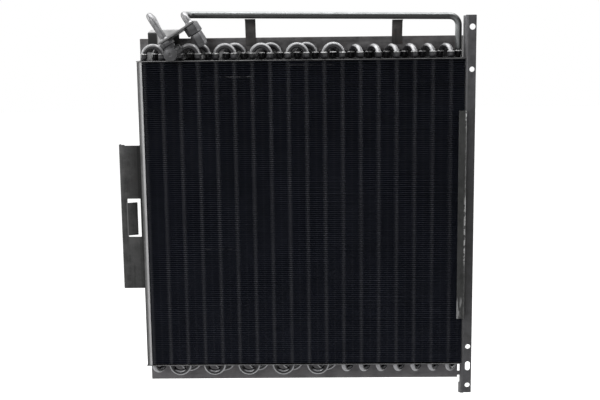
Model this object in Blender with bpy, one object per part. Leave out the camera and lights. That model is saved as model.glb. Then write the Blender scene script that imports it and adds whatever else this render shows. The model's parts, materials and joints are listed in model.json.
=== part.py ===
# Finned condenser coil with its frame, brackets and pipes.
# Lengths are in metres. X runs to the right, Y to the back and Z up.
# The shapes are written with the coil's own corner as zero: X at the coil's
# middle, Y at the fins' front and Z at the lower end plate's underside.
# The last step moves them to the row's frame, at the right flange's seat.

import math

import bmesh
import bpy
from mathutils import Matrix, Vector

# Driving sizes
MM = 0.001
TUBE_PITCH = 25.4 * MM
ROW_PITCH = 0.75 * TUBE_PITCH
TUBES_PER_ROW = 18
CORE_HEIGHT = 444.5 * MM
TUBE_R = 3.97 * MM
PIPE_R = 4.76 * MM
GAP = 0.3 * MM
SHEET = 1.2 * MM
SIDE_SHEET = 1.5 * MM
BRACKET_SHEET = 2.5 * MM
BAR_SHEET = 2.0 * MM
FIN_GAPS = 60
FLANGE_RISE = 11.0 * MM
TUBE_SIDES = 8
BEND_STEPS = 6

# Sizes that follow from them
CORE_WIDTH = TUBES_PER_ROW * TUBE_PITCH
CORE_DEPTH = 2.0 * ROW_PITCH
HALF = CORE_WIDTH / 2.0
FRONT_ROW_Y = ROW_PITCH / 2.0
REAR_ROW_Y = FRONT_ROW_Y + ROW_PITCH
FIRST_TUBE_X = -HALF + TUBE_PITCH / 4.0
HOLE_R = TUBE_R + 0.63 * MM
BELL_RIM_Z = CORE_HEIGHT + 9.1 * MM
BELL_R = TUBE_R + 1.08 * MM
SOCKET_R = TUBE_R + 0.48 * MM
SOCKET_FLOOR_Z = BELL_RIM_Z - 5.0 * MM
NECK_Z = SOCKET_FLOOR_Z - 1.9 * MM
RETURN_START_Z = BELL_RIM_Z - 0.4 * MM
HAIRPIN_END_Z = -1.1 * MM
WEB_X = HALF + GAP
FLANGE_X = HALF + 14.9 * MM
FLANGE_TOP = CORE_HEIGHT + 58.9 * MM
FLANGE_BOTTOM = -44.2 * MM
BAR_Y = CORE_DEPTH + GAP
BAR_TOP = CORE_HEIGHT + 30.3 * MM
BAR_BOTTOM = -33.8 * MM
BAR_HEIGHT = 38.0 * MM
RAIL_LOW = 71.0 * MM
RAIL_HIGH = 371.2 * MM
BOLT_X = WEB_X + 9.2 * MM
LIQUID_X = FIRST_TUBE_X + 10.5 * TUBE_PITCH
DISCHARGE_X = FIRST_TUBE_X + 17.5 * TUBE_PITCH

# The row's origin: the middle of the right flange's back face
ORIGIN = Vector((BOLT_X, BRACKET_SHEET, CORE_HEIGHT / 2.0))

for old in list(bpy.data.objects):
    bpy.data.objects.remove(old, do_unlink=True)

scene = bpy.context.scene
parts = bpy.data.collections.new("condenser_coil")
cutters = bpy.data.collections.new("cutting_tools")
scene.collection.children.link(parts)
scene.collection.children.link(cutters)


def material(name, colour, metallic, roughness):
    mat = bpy.data.materials.new(name)
    mat.use_nodes = True
    shader = mat.node_tree.nodes["Principled BSDF"]
    shader.inputs["Base Color"].default_value = (colour[0], colour[1], colour[2], 1.0)
    shader.inputs["Metallic"].default_value = metallic
    shader.inputs["Roughness"].default_value = roughness
    mat.diffuse_color = (colour[0], colour[1], colour[2], 1.0)
    return mat


FIN_BLACK = (0.012, 0.012, 0.014)
GLOSS_BLACK = (0.02, 0.02, 0.022)
FRAME_GREY = (0.16, 0.155, 0.15)
SILVER = (0.62, 0.63, 0.63)
STEEL = (0.36, 0.36, 0.36)
RAIL_GREY = (0.3, 0.3, 0.3)


def tool(obj):
    """Put a cutter in its own collection, out of the renders."""
    cutters.objects.link(obj)
    obj.hide_render = True
    obj.display_type = "WIRE"
    return obj


def finish(obj, mat, smooth=False):
    """Give a piece its own material and put it in the parts collection."""
    obj.data.materials.clear()
    obj.data.materials.append(mat)
    parts.objects.link(obj)
    if smooth and obj.type == "MESH":
        for face in obj.data.polygons:
            face.use_smooth = True
    return obj


def mesh_object(name, bm):
    mesh = bpy.data.meshes.new(name)
    bmesh.ops.recalc_face_normals(bm, faces=bm.faces)
    bm.to_mesh(mesh)
    bm.free()
    return bpy.data.objects.new(name, mesh)


def sheet(name, outline, low, high, axis):
    """Extrude a flat outline from low to high along an axis."""
    curve = bpy.data.curves.new(name + "_outline", "CURVE")
    curve.dimensions = "2D"
    curve.fill_mode = "BOTH"
    curve.extrude = (high - low) / 2.0
    spline = curve.splines.new("POLY")
    spline.points.add(len(outline) - 1)
    for point, place in zip(spline.points, outline):
        point.co = (place[0], place[1], 0.0, 1.0)
    spline.use_cyclic_u = True
    source = bpy.data.objects.new(name + "_outline", curve)
    scene.collection.objects.link(source)
    bpy.context.view_layer.update()
    graph = bpy.context.evaluated_depsgraph_get()
    mesh = bpy.data.meshes.new_from_object(source.evaluated_get(graph))
    bpy.data.objects.remove(source, do_unlink=True)
    middle = (low + high) / 2.0
    turns = {
        "X": Matrix(((0, 0, 1, middle), (1, 0, 0, 0), (0, 1, 0, 0), (0, 0, 0, 1))),
        "Y": Matrix(((1, 0, 0, 0), (0, 0, -1, middle), (0, 1, 0, 0), (0, 0, 0, 1))),
        "Z": Matrix(((1, 0, 0, 0), (0, 1, 0, 0), (0, 0, 1, middle), (0, 0, 0, 1))),
    }
    bm = bmesh.new()
    bm.from_mesh(mesh)
    bpy.data.meshes.remove(mesh)
    bmesh.ops.remove_doubles(bm, verts=bm.verts, dist=0.000001)
    bmesh.ops.transform(bm, matrix=turns[axis], verts=bm.verts)
    return mesh_object(name, bm)


def block(name, x, y, z):
    """A box between two limits on each axis."""
    bm = bmesh.new()
    bmesh.ops.create_cube(bm, size=1.0)
    size = Vector((x[1] - x[0], y[1] - y[0], z[1] - z[0]))
    centre = Vector((x[0] + x[1], y[0] + y[1], z[0] + z[1])) / 2.0
    bmesh.ops.scale(bm, vec=size, verts=bm.verts)
    bmesh.ops.translate(bm, vec=centre, verts=bm.verts)
    return mesh_object(name, bm)


def round_bar(name, start, end, radius, sides=16, tip=None, turn=0.0):
    """A straight round or many-sided bar from one point to another."""
    direction = end - start
    bm = bmesh.new()
    bmesh.ops.create_cone(
        bm,
        cap_ends=True,
        segments=sides,
        radius1=radius,
        radius2=radius if tip is None else tip,
        depth=direction.length,
    )
    bmesh.ops.rotate(bm, matrix=Matrix.Rotation(turn, 3, "Z"), verts=bm.verts)
    swing = direction.to_track_quat("Z", "Y").to_matrix()
    bmesh.ops.rotate(bm, matrix=swing, verts=bm.verts)
    bmesh.ops.translate(bm, vec=(start + end) / 2.0, verts=bm.verts)
    return mesh_object(name, bm)


def combine(target, other, operation, solver="EXACT"):
    mod = target.modifiers.new(operation.lower(), "BOOLEAN")
    mod.operation = operation
    mod.solver = solver
    mod.object = other
    return target


def tube_places():
    """Every tube's place, front row first."""
    places = []
    for k in range(TUBES_PER_ROW):
        places.append(Vector((FIRST_TUBE_X + k * TUBE_PITCH, FRONT_ROW_Y, 0.0)))
    for k in range(TUBES_PER_ROW):
        x = FIRST_TUBE_X + (k + 0.5) * TUBE_PITCH
        places.append(Vector((x, REAR_ROW_Y, 0.0)))
    return places


def tube(row, number):
    """The place of one tube, counted from 1 in row T (front) or S (rear)."""
    if row == "T":
        return Vector((FIRST_TUBE_X + (number - 1) * TUBE_PITCH, FRONT_ROW_Y, 0.0))
    return Vector((FIRST_TUBE_X + (number - 0.5) * TUBE_PITCH, REAR_ROW_Y, 0.0))


def drill(name, places, radius, low, high, sides=TUBE_SIDES, turn=0.0):
    """One cutter made of upright cylinders at each place."""
    bm = bmesh.new()
    for place in places:
        made = bmesh.ops.create_cone(
            bm,
            cap_ends=True,
            segments=sides,
            radius1=radius,
            radius2=radius,
            depth=high - low,
        )
        bmesh.ops.rotate(bm, matrix=Matrix.Rotation(turn, 3, "Z"), verts=made["verts"])
        spot = Vector((place.x, place.y, (low + high) / 2.0))
        bmesh.ops.translate(bm, vec=spot, verts=made["verts"])
    return tool(mesh_object(name, bm))


def fillet(points, radius, steps):
    """Round the corners of a route with arcs."""
    route = [points[0].copy()]
    last = len(points) - 1
    for index in range(1, last):
        before = points[index - 1]
        corner = points[index]
        after = points[index + 1]
        room_before = (before - corner).length * (0.9 if index == 1 else 0.48)
        room_after = (after - corner).length * (0.9 if index == last - 1 else 0.48)
        to_before = (before - corner).normalized()
        to_after = (after - corner).normalized()
        angle = to_before.angle(to_after)
        reach = radius / math.tan(angle / 2.0)
        reach = min(reach, room_before, room_after)
        bend_r = reach * math.tan(angle / 2.0)
        start = corner + to_before * reach
        middle = corner + (to_before + to_after).normalized() * (bend_r / math.sin(angle / 2.0))
        axis = (start - middle).cross(corner + to_after * reach - middle).normalized()
        for k in range(steps + 1):
            turn = Matrix.Rotation((math.pi - angle) * k / steps, 3, axis)
            route.append(middle + turn @ (start - middle))
    route.append(points[-1].copy())
    return route


def pipe(name, points, radius, bend, steps, mat, ends=None):
    """A pipe along a route, as a curve; ends gives narrower end radii."""
    route = fillet(points, bend, steps)
    curve = bpy.data.curves.new(name, "CURVE")
    curve.dimensions = "3D"
    curve.bevel_depth = radius
    curve.bevel_resolution = 2
    curve.use_fill_caps = True
    spline = curve.splines.new("POLY")
    spline.points.add(len(route) - 1)
    for point, place in zip(spline.points, route):
        point.co = (place.x, place.y, place.z, 1.0)
        point.radius = 1.0
    if ends:
        for index, factor in ends.items():
            spline.points[index].radius = factor
    return finish(bpy.data.objects.new(name, curve), mat)


# Fin pack
fin_low = SHEET + GAP
fin_high = CORE_HEIGHT - SHEET - GAP
fin_step = (fin_high - fin_low) / (FIN_GAPS + 0.5)
slot_depth = 2.6 * MM
comb = []
for k in range(FIN_GAPS + 1):
    ridge = fin_low + k * fin_step
    comb.append((0.0, ridge))
    comb.append((0.0, ridge + fin_step * 0.5))
    if k < FIN_GAPS:
        comb.append((slot_depth, ridge + fin_step * 0.5))
        comb.append((slot_depth, ridge + fin_step))
back = []
for place in comb:
    back.append((CORE_DEPTH - place[0], place[1]))
comb.reverse()
fin_pack = sheet("fin_pack", back + comb, -HALF, HALF, "X")
fin_bores = drill("fin_bores", tube_places(), HOLE_R, -0.01, CORE_HEIGHT + 0.01)
# The exact solver leaves open edges beside the slots here
combine(fin_pack, fin_bores, "DIFFERENCE", "MANIFOLD")
finish(fin_pack, material("fin_pack", FIN_BLACK, 0.1, 0.45))

# End plates, each folded along its back edge
front_y = -SIDE_SHEET - GAP - 0.2 * MM
left_x = -HALF - SIDE_SHEET - 0.9 * MM
top_z = CORE_HEIGHT
rear_y = CORE_DEPTH
top_fold = [
    (front_y, top_z - SHEET),
    (rear_y, top_z - SHEET),
    (rear_y, top_z + FLANGE_RISE),
    (rear_y - SHEET, top_z + FLANGE_RISE),
    (rear_y - SHEET, top_z),
    (front_y, top_z),
]
low_fold = []
for place in top_fold:
    low_fold.append((place[0], CORE_HEIGHT - place[1]))
low_fold.reverse()
for name, fold in (("top_end_plate", top_fold), ("bottom_end_plate", low_fold)):
    plate = sheet(name, fold, left_x, HALF, "X")
    combine(plate, fin_bores, "DIFFERENCE")
    finish(plate, material(name, GLOSS_BLACK, 0.2, 0.3))

# Left side plate: a web along the fins' end and a lip over their front
web_left = -HALF - GAP - SIDE_SHEET
lip_front = -GAP - SIDE_SHEET
side_outline = [
    (web_left, lip_front),
    (-HALF + 4.3 * MM, lip_front),
    (-HALF + 4.3 * MM, -GAP),
    (-HALF - GAP, -GAP),
    (-HALF - GAP, CORE_DEPTH),
    (web_left, CORE_DEPTH),
]
side = sheet("left_side_plate", side_outline, fin_low, fin_high, "Z")
finish(side, material("left_side_plate", STEEL, 0.6, 0.35))

# Right bracket: a long flange in front, and a web with a long notch over its foot
WEB_DEPTH = 28.0 * MM
FOOT_DEPTH = 31.0 * MM
NOTCH_DEPTH = 19.0 * MM
web_outline = [
    (0.0, FLANGE_BOTTOM - 0.8 * MM),
    (FOOT_DEPTH, FLANGE_BOTTOM - 10.8 * MM),
    (FOOT_DEPTH, FLANGE_BOTTOM + 6.2 * MM),
    (NOTCH_DEPTH, FLANGE_BOTTOM + 7.7 * MM),
    (NOTCH_DEPTH, FLANGE_BOTTOM + 37.2 * MM),
    (WEB_DEPTH, FLANGE_BOTTOM + 38.7 * MM),
    (WEB_DEPTH, FLANGE_TOP - 0.8 * MM),
    (0.0, FLANGE_TOP - 0.8 * MM),
]
bracket = sheet("right_side_bracket", web_outline, WEB_X, WEB_X + BRACKET_SHEET, "X")
flange = tool(block(
    "right_flange",
    (WEB_X, FLANGE_X),
    (0.0, BRACKET_SHEET),
    (FLANGE_BOTTOM, FLANGE_TOP),
))
combine(bracket, flange, "UNION")
HOLES = [
    (CORE_HEIGHT + 42.5 * MM, 4.2 * MM, 0.0),
    (CORE_HEIGHT - 16.3 * MM, 3.7 * MM, 0.0),
    (25.6 * MM, 3.7 * MM, 0.0),
    (-3.8 * MM, 3.7 * MM, 3.4 * MM),
    (-33.0 * MM, 3.7 * MM, 0.0),
]
hole_bm = bmesh.new()
for height, radius, stretch in HOLES:
    made = bmesh.ops.create_cone(
        hole_bm,
        cap_ends=True,
        segments=12,
        radius1=radius,
        radius2=radius,
        depth=0.02,
    )
    bmesh.ops.rotate(
        hole_bm, matrix=Matrix.Rotation(math.radians(90), 3, "X"), verts=made["verts"]
    )
    for vert in made["verts"]:
        if vert.co.z > 0.0001:
            vert.co.z += stretch
        elif vert.co.z < -0.0001:
            vert.co.z -= stretch
    spot = Vector((BOLT_X, BRACKET_SHEET / 2.0, height))
    bmesh.ops.translate(hole_bm, vec=spot, verts=made["verts"])
combine(bracket, tool(mesh_object("flange_holes", hole_bm)), "DIFFERENCE")
finish(bracket, material("right_side_bracket", FRAME_GREY, 0.5, 0.5))

# Rail strip that stands off the fins beside the right bracket
rail_right = WEB_X + 1.7 * MM
rail_front = -10.7 * MM
rail_outline = [
    (rail_right - 11.2 * MM, rail_front),
    (rail_right, rail_front),
    (rail_right, -GAP),
    (rail_right - SHEET, -GAP),
    (rail_right - SHEET, rail_front + SHEET),
    (rail_right - 11.2 * MM, rail_front + SHEET),
]
rail = sheet("rail_strip", rail_outline, RAIL_LOW, RAIL_HIGH, "Z")
finish(rail, material("rail_strip", RAIL_GREY, 0.4, 0.5))

# Frame bars behind the two ends of the core
bar_left = -HALF - 3.4 * MM
bar_rear = BAR_Y + BAR_SHEET
top_bar = block(
    "top_bar",
    (bar_left, WEB_X - 0.6 * MM),
    (BAR_Y, bar_rear),
    (BAR_TOP - BAR_HEIGHT, BAR_TOP),
)
pass_hole = round_bar(
    "pipe_pass_hole",
    Vector((LIQUID_X, BAR_Y - 0.01, BAR_TOP - 11.5 * MM)),
    Vector((LIQUID_X, bar_rear + 0.01, BAR_TOP - 11.5 * MM)),
    6.2 * MM,
)
combine(top_bar, tool(pass_hole), "DIFFERENCE")
finish(top_bar, material("top_bar", FRAME_GREY, 0.5, 0.5))
ear_top = BAR_BOTTOM + 8.2 * MM
ear_right = HALF + 1.4 * MM
low_right = HALF - 1.4 * MM
low_outline = [
    (bar_left, BAR_BOTTOM),
    (low_right, BAR_BOTTOM),
    (low_right, BAR_BOTTOM + 1.6 * MM),
    (ear_right, BAR_BOTTOM + 1.6 * MM),
    (ear_right, ear_top),
    (low_right, ear_top),
    (low_right, BAR_BOTTOM + BAR_HEIGHT),
    (bar_left, BAR_BOTTOM + BAR_HEIGHT),
]
low_bar = sheet("bottom_bar", low_outline, BAR_Y, bar_rear, "Y")
finish(low_bar, material("bottom_bar", FRAME_GREY, 0.5, 0.5))

# Left bracket: a channel with a window and a bent tab in it
left_low = 117.5 * MM
left_high = 325.5 * MM
left_out = -HALF - 33.0 * MM
left_in = web_left - GAP
left_sheet = 2.0 * MM
bracket_outline = [
    (left_out, 0.0),
    (left_in, 0.0),
    (left_in, 24.0 * MM),
    (left_in - left_sheet, 24.0 * MM),
    (left_in - left_sheet, left_sheet),
    (left_out + left_sheet, left_sheet),
    (left_out + left_sheet, 11.0 * MM),
    (left_out, 11.0 * MM),
]
left_bracket = sheet("left_window_bracket", bracket_outline, left_low, left_high, "Z")
corner = tool(block(
    "raised_corner",
    (left_out, left_out + 8.5 * MM),
    (0.0, left_sheet),
    (left_high - 4.0 * MM, left_high + 1.3 * MM),
))
window = tool(block(
    "bracket_window",
    (-HALF - 23.4 * MM, left_in - left_sheet - 0.5 * MM),
    (-5.0 * MM, left_sheet + 1.0 * MM),
    (193.3 * MM, 249.1 * MM),
))
tab_bm = bmesh.new()
bmesh.ops.create_cube(tab_bm, size=1.0)
bmesh.ops.scale(tab_bm, vec=(16.0 * MM, 1.6 * MM, 47.6 * MM), verts=tab_bm.verts)
bmesh.ops.translate(tab_bm, vec=(7.0 * MM, 0.8 * MM, 0.0), verts=tab_bm.verts)
bmesh.ops.rotate(tab_bm, matrix=Matrix.Rotation(math.radians(24), 3, "Z"), verts=tab_bm.verts)
bmesh.ops.translate(tab_bm, vec=(-HALF - 23.6 * MM, 0.1 * MM, 219.1 * MM), verts=tab_bm.verts)
window_tab = tool(mesh_object("window_tab", tab_bm))
combine(left_bracket, corner, "UNION")
combine(left_bracket, window, "DIFFERENCE")
combine(left_bracket, window_tab, "UNION")
finish(left_bracket, material("left_window_bracket", FRAME_GREY, 0.5, 0.5))


def ring_step(bm, edges, centre, height, radius, turn=0.0):
    """Extrude a ring and set it at a height, radius and turn."""
    made = bmesh.ops.extrude_edge_only(bm, edges=edges)
    verts = [item for item in made["geom"] if isinstance(item, bmesh.types.BMVert)]
    new_edges = [item for item in made["geom"] if isinstance(item, bmesh.types.BMEdge)]
    ring = [edge for edge in new_edges if edge.verts[0] in verts and edge.verts[1] in verts]
    for vert in verts:
        flat = Vector((vert.co.x - centre.x, vert.co.y - centre.y, 0.0))
        flat = Matrix.Rotation(turn, 3, "Z") @ flat.normalized() * radius
        vert.co = Vector((centre.x + flat.x, centre.y + flat.y, height))
    return ring


def bent_tube(name, first, second, leg, mat, down):
    """Two upright legs and the half turn between them, with their end rings."""
    across = second - first
    lean = math.atan2(across.y, across.x)
    part_turn = 2.0 * math.pi / TUBE_SIDES
    twist = (lean + part_turn / 2.0) % part_turn - part_turn / 2.0
    bm = bmesh.new()
    start_z, start_r = leg[0]
    made = bmesh.ops.create_circle(
        bm,
        cap_ends=True,
        segments=TUBE_SIDES,
        radius=start_r,
    )
    bmesh.ops.translate(bm, vec=(first.x, first.y, start_z), verts=made["verts"])
    ring = list(bm.edges)
    for height, radius in leg[1:-1]:
        ring = ring_step(bm, ring, first, height, radius)
    bend_z = leg[-1][0]
    ring = ring_step(bm, ring, first, bend_z, leg[-1][1], twist)
    middle = (first + second) / 2.0
    axis = Vector((-across.y, across.x, 0.0)).normalized()
    turned = bmesh.ops.spin(
        bm,
        geom=ring,
        cent=(middle.x, middle.y, bend_z),
        axis=axis,
        dvec=(0.0, 0.0, 0.0),
        angle=math.pi if not down else -math.pi,
        steps=BEND_STEPS,
        use_merge=False,
        use_duplicate=False,
    )
    ring = [item for item in turned["geom_last"] if isinstance(item, bmesh.types.BMEdge)]
    back_turn = -twist
    for height, radius in reversed(leg[:-1]):
        ring = ring_step(bm, ring, second, height, radius, back_turn)
        back_turn = 0.0
    bmesh.ops.contextual_create(bm, geom=ring)
    obj = mesh_object(name, bm)
    return finish(obj, mat, smooth=True)


# Hairpin tubes: long legs, belled mouths at the top and half turns below
HAIRPINS = [("T1", "S1")]
for k in range(2, 11, 2):
    HAIRPINS.append(("T%d" % k, "T%d" % (k + 1)))
    HAIRPINS.append(("S%d" % k, "S%d" % (k + 1)))
for k in range(12, 19):
    HAIRPINS.append(("T%d" % k, "S%d" % k))
hairpin_leg = [
    (SOCKET_FLOOR_Z, SOCKET_R),
    (BELL_RIM_Z, SOCKET_R),
    (BELL_RIM_Z, BELL_R),
    (SOCKET_FLOOR_Z - 0.8 * MM, BELL_R),
    (NECK_Z, TUBE_R),
    (HAIRPIN_END_Z, TUBE_R),
]
for count, (first, second) in enumerate(HAIRPINS):
    name = "hairpin_%02d" % (count + 1)
    bent_tube(
        name,
        tube(first[0], int(first[1:])),
        tube(second[0], int(second[1:])),
        hairpin_leg,
        material(name, GLOSS_BLACK, 0.3, 0.22),
        True,
    )

# Return bends, brazed into the bells
RETURNS = []
for k in range(1, 12, 2):
    RETURNS.append(("T%d" % k, "T%d" % (k + 1)))
for k in range(1, 10, 2):
    RETURNS.append(("S%d" % k, "S%d" % (k + 1)))
for k in range(12, 18):
    RETURNS.append(("S%d" % k, "T%d" % (k + 1)))
return_leg = [
    (SOCKET_FLOOR_Z + 0.4 * MM, TUBE_R),
    (RETURN_START_Z, TUBE_R),
]
for count, (first, second) in enumerate(RETURNS):
    name = "return_bend_%02d" % (count + 1)
    bent_tube(
        name,
        tube(first[0], int(first[1:])),
        tube(second[0], int(second[1:])),
        return_leg,
        material(name, GLOSS_BLACK, 0.3, 0.22),
        False,
    )

# Bracket for the two fittings: an upright tab and a sloping plate
slope = math.radians(32)
along = Vector((math.cos(slope), 0.0, math.sin(slope)))
down_axis = Vector((math.sin(slope), 0.0, -math.cos(slope)))
plate_start = Vector((-HALF + 31.6 * MM, 0.0, CORE_HEIGHT + 23.9 * MM))
plate_length = 57.0 * MM
plate_thick = 2.4 * MM
fitting_y = -4.0 * MM
seat_r = 5.3 * MM
left_seat = plate_start + along * 8.5 * MM + Vector((0.0, fitting_y, 0.0))
right_seat = plate_start + along * (plate_length - 7.4 * MM)
right_seat.y = fitting_y
tab_outline = [
    (-HALF + 8.5 * MM, CORE_HEIGHT + FLANGE_RISE + 0.6 * MM),
    (-HALF + 53.5 * MM, CORE_HEIGHT + FLANGE_RISE + 0.6 * MM),
    (-HALF + 53.5 * MM, CORE_HEIGHT + 43.2 * MM),
    (-HALF + 13.0 * MM, CORE_HEIGHT + 43.2 * MM),
    (-HALF + 9.8 * MM, CORE_HEIGHT + 41.9 * MM),
    (-HALF + 8.5 * MM, CORE_HEIGHT + 38.7 * MM),
]
tab = sheet("fitting_bracket", tab_outline, CORE_DEPTH - 1.5 * MM, CORE_DEPTH, "Y")
plate_front = -15.0 * MM
plate_rear = CORE_DEPTH - 0.4 * MM
# The rear left corner is cut back, clear of the return bend below it
plate_outline = [
    (0.0, plate_front),
    (plate_length, plate_front),
    (plate_length, plate_rear),
    (4.6 * MM, plate_rear),
    (4.6 * MM, REAR_ROW_Y - 7.0 * MM),
    (0.0, REAR_ROW_Y - 9.0 * MM),
]
sloping = sheet("sloping_plate", plate_outline, -plate_thick / 2.0, plate_thick / 2.0, "Z")
tilt = Matrix.Translation(plate_start) @ Matrix.Rotation(-slope, 4, "Y")
sloping.data.transform(tilt)
combine(tab, tool(sloping), "UNION")
for name, seat in (("left_seat_hole", left_seat), ("right_seat_hole", right_seat)):
    reach = down_axis * 8.0 * MM
    cut = round_bar(name, seat - reach, seat + reach, seat_r, sides=16)
    combine(tab, tool(cut), "DIFFERENCE")
finish(tab, material("fitting_bracket", STEEL, 0.6, 0.45))


def nut(name, seat, low, high, radius, bore, mat):
    """A hexagon nut on the fitting's axis."""
    piece = round_bar(name, seat + down_axis * low, seat + down_axis * high, radius, sides=6)
    cut = round_bar(
        name + "_bore",
        seat + down_axis * (low - 3.0 * MM),
        seat + down_axis * (high + 3.0 * MM),
        bore,
        sides=16,
    )
    combine(piece, tool(cut), "DIFFERENCE")
    return finish(piece, mat)


half_plate = plate_thick / 2.0
nut_low = half_plate + GAP
nut(
    "left_fitting_nut",
    left_seat,
    nut_low,
    nut_low + 7.5 * MM,
    10.3 * MM,
    seat_r,
    material("left_fitting_nut", STEEL, 0.8, 0.35),
)
nut(
    "right_fitting_nut",
    right_seat,
    nut_low,
    nut_low + 13.5 * MM,
    10.8 * MM,
    seat_r,
    material("right_fitting_nut", STEEL, 0.8, 0.35),
)

# Left fitting body, with a small boss on its side
body_low = nut_low + 7.5 * MM + GAP
stud_top = -4.0 * MM
left_body = round_bar(
    "left_fitting_body",
    left_seat + down_axis * body_low,
    left_seat + down_axis * (body_low + 18.0 * MM),
    8.2 * MM,
)
left_stud = round_bar(
    "left_fitting_stud",
    left_seat + down_axis * stud_top,
    left_seat + down_axis * (body_low + 2.0 * MM),
    seat_r - GAP,
)
cap_centre = left_seat + down_axis * (body_low + 11.9 * MM) - along * 2.6 * MM
boss_start = left_seat + down_axis * (body_low + 12.2 * MM)
left_boss = round_bar(
    "left_fitting_boss",
    boss_start,
    boss_start + along * 13.8 * MM,
    5.7 * MM,
    sides=12,
)
left_neck = round_bar(
    "left_fitting_neck",
    cap_centre,
    cap_centre + Vector((0.0, -10.0 * MM, 0.0)),
    6.0 * MM,
    sides=16,
)
for extra in (left_stud, left_boss, left_neck):
    combine(left_body, tool(extra), "UNION")
finish(left_body, material("left_fitting_body", STEEL, 0.8, 0.35))
cap = round_bar(
    "left_service_cap",
    cap_centre + Vector((0.0, -10.0 * MM - GAP, 0.0)),
    cap_centre + Vector((0.0, -19.0 * MM, 0.0)),
    9.6 * MM,
    sides=24,
    tip=9.0 * MM,
)
finish(cap, material("left_service_cap", STEEL, 0.7, 0.4))

# Right fitting body, a second hexagon with a tapered nose
nose_low = nut_low + 13.5 * MM + GAP
right_body = round_bar(
    "right_fitting_body",
    right_seat + down_axis * nose_low,
    right_seat + down_axis * (nose_low + 14.0 * MM),
    9.3 * MM,
    sides=6,
)
right_nose = round_bar(
    "right_fitting_nose",
    right_seat + down_axis * (nose_low + 10.0 * MM),
    right_seat + down_axis * (nose_low + 19.2 * MM),
    8.0 * MM,
    sides=16,
    tip=6.6 * MM,
)
right_stud = round_bar(
    "right_fitting_stud",
    right_seat - down_axis * 1.7 * MM,
    right_seat + down_axis * (nose_low + 2.0 * MM),
    seat_r - GAP,
)
for extra in (right_nose, right_stud):
    combine(right_body, tool(extra), "UNION")
finish(right_body, material("right_fitting_body", STEEL, 0.8, 0.35))

# Pipes
socket_end = SOCKET_FLOOR_Z + 0.5 * MM
narrow = 0.76
stud_end = stud_top - GAP
run_z = CORE_HEIGHT + 64.0 * MM
run_end_z = CORE_HEIGHT + 57.4 * MM
elbow_top = right_seat - down_axis * ((run_z - right_seat.z) / math.cos(slope))
elbow_end = elbow_top + Vector((0.0, 12.0 * MM, 0.0))
elbow_points = [
    right_seat - down_axis * 2.0 * MM,
    elbow_top,
    elbow_end,
]
pipe(
    "right_elbow",
    elbow_points,
    PIPE_R,
    7.5 * MM,
    6,
    material("right_elbow", SILVER, 0.9, 0.3),
)
discharge_points = [
    elbow_end + Vector((0.0, GAP, 0.0)),
    Vector((elbow_top.x, REAR_ROW_Y, run_z)),
    Vector((DISCHARGE_X, REAR_ROW_Y, run_end_z)),
    Vector((DISCHARGE_X, REAR_ROW_Y, BELL_RIM_Z + 4.5 * MM)),
    Vector((DISCHARGE_X, REAR_ROW_Y, BELL_RIM_Z + 1.0 * MM)),
    Vector((DISCHARGE_X, REAR_ROW_Y, socket_end)),
]
discharge = pipe(
    "discharge_pipe",
    discharge_points[:4],
    PIPE_R,
    13.0 * MM,
    6,
    material("discharge_pipe", STEEL, 0.7, 0.35),
)
spline = discharge.data.splines[0]
spline.points.add(2)
for index, place in ((-2, discharge_points[4]), (-1, discharge_points[5])):
    spline.points[index].co = (place.x, place.y, place.z, 1.0)
    spline.points[index].radius = narrow

rear_run_y = CORE_DEPTH + BAR_SHEET + 8.6 * MM
liquid_z = BAR_TOP - 11.5 * MM
liquid_points = [
    Vector((LIQUID_X, REAR_ROW_Y, BELL_RIM_Z + 1.0 * MM)),
    Vector((LIQUID_X, REAR_ROW_Y, liquid_z)),
    Vector((LIQUID_X, rear_run_y, liquid_z)),
    Vector((left_seat.x + 10.0 * MM, rear_run_y, liquid_z)),
    left_seat + Vector((-12.9 * MM, rear_run_y - fitting_y, 5.5 * MM)),
    left_seat + Vector((-23.7 * MM, rear_run_y - fitting_y, 30.1 * MM)),
    left_seat + down_axis * -40.3 * MM,
    left_seat + down_axis * stud_end,
]
liquid = pipe(
    "liquid_pipe",
    liquid_points,
    PIPE_R,
    9.0 * MM,
    4,
    material("liquid_pipe", SILVER, 0.9, 0.3),
)
spline = liquid.data.splines[0]
route = [point.co.copy() for point in spline.points]
spline.points.add(1)
spline.points[0].co = (LIQUID_X, REAR_ROW_Y, socket_end, 1.0)
spline.points[0].radius = narrow
for index, place in enumerate(route):
    spline.points[index + 1].co = place
    spline.points[index + 1].radius = 0.8 if index < 12 else 1.0
spline.points[1].radius = narrow

# Pipe clips: flat strips from the top bar to the pipe's underside
for name, middle_x in (("left_pipe_clip", -72.8 * MM), ("right_pipe_clip", 136.0 * MM)):
    share = (middle_x - elbow_top.x) / (DISCHARGE_X - elbow_top.x)
    under = run_z + (run_end_z - run_z) * share - PIPE_R - 2.0 * GAP
    clip_back = CORE_DEPTH
    clip_outline = [
        (clip_back, CORE_HEIGHT + 19.5 * MM),
        (clip_back, BAR_TOP + 2.0 * MM),
        (REAR_ROW_Y + 3.6 * MM, under - 1.6 * MM),
        (REAR_ROW_Y + 3.6 * MM, under),
        (REAR_ROW_Y - 5.0 * MM, under),
        (REAR_ROW_Y - 5.0 * MM, under - 1.6 * MM),
        (REAR_ROW_Y + 1.4 * MM, under - 1.6 * MM),
        (clip_back - 1.8 * MM, BAR_TOP + 1.4 * MM),
        (clip_back - 1.8 * MM, CORE_HEIGHT + 19.5 * MM),
    ]
    half_clip = 7.4 * MM
    clip = sheet(name, clip_outline, middle_x - half_clip, middle_x + half_clip, "X")
    finish(clip, material(name, FRAME_GREY, 0.5, 0.5))

# Move everything to the row's frame
shift = Matrix.Translation(-ORIGIN)
for obj in list(parts.objects) + list(cutters.objects):
    obj.data.transform(shift)
    obj.matrix_world = Matrix.Identity(4)
bpy.context.view_layer.update()
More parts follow.
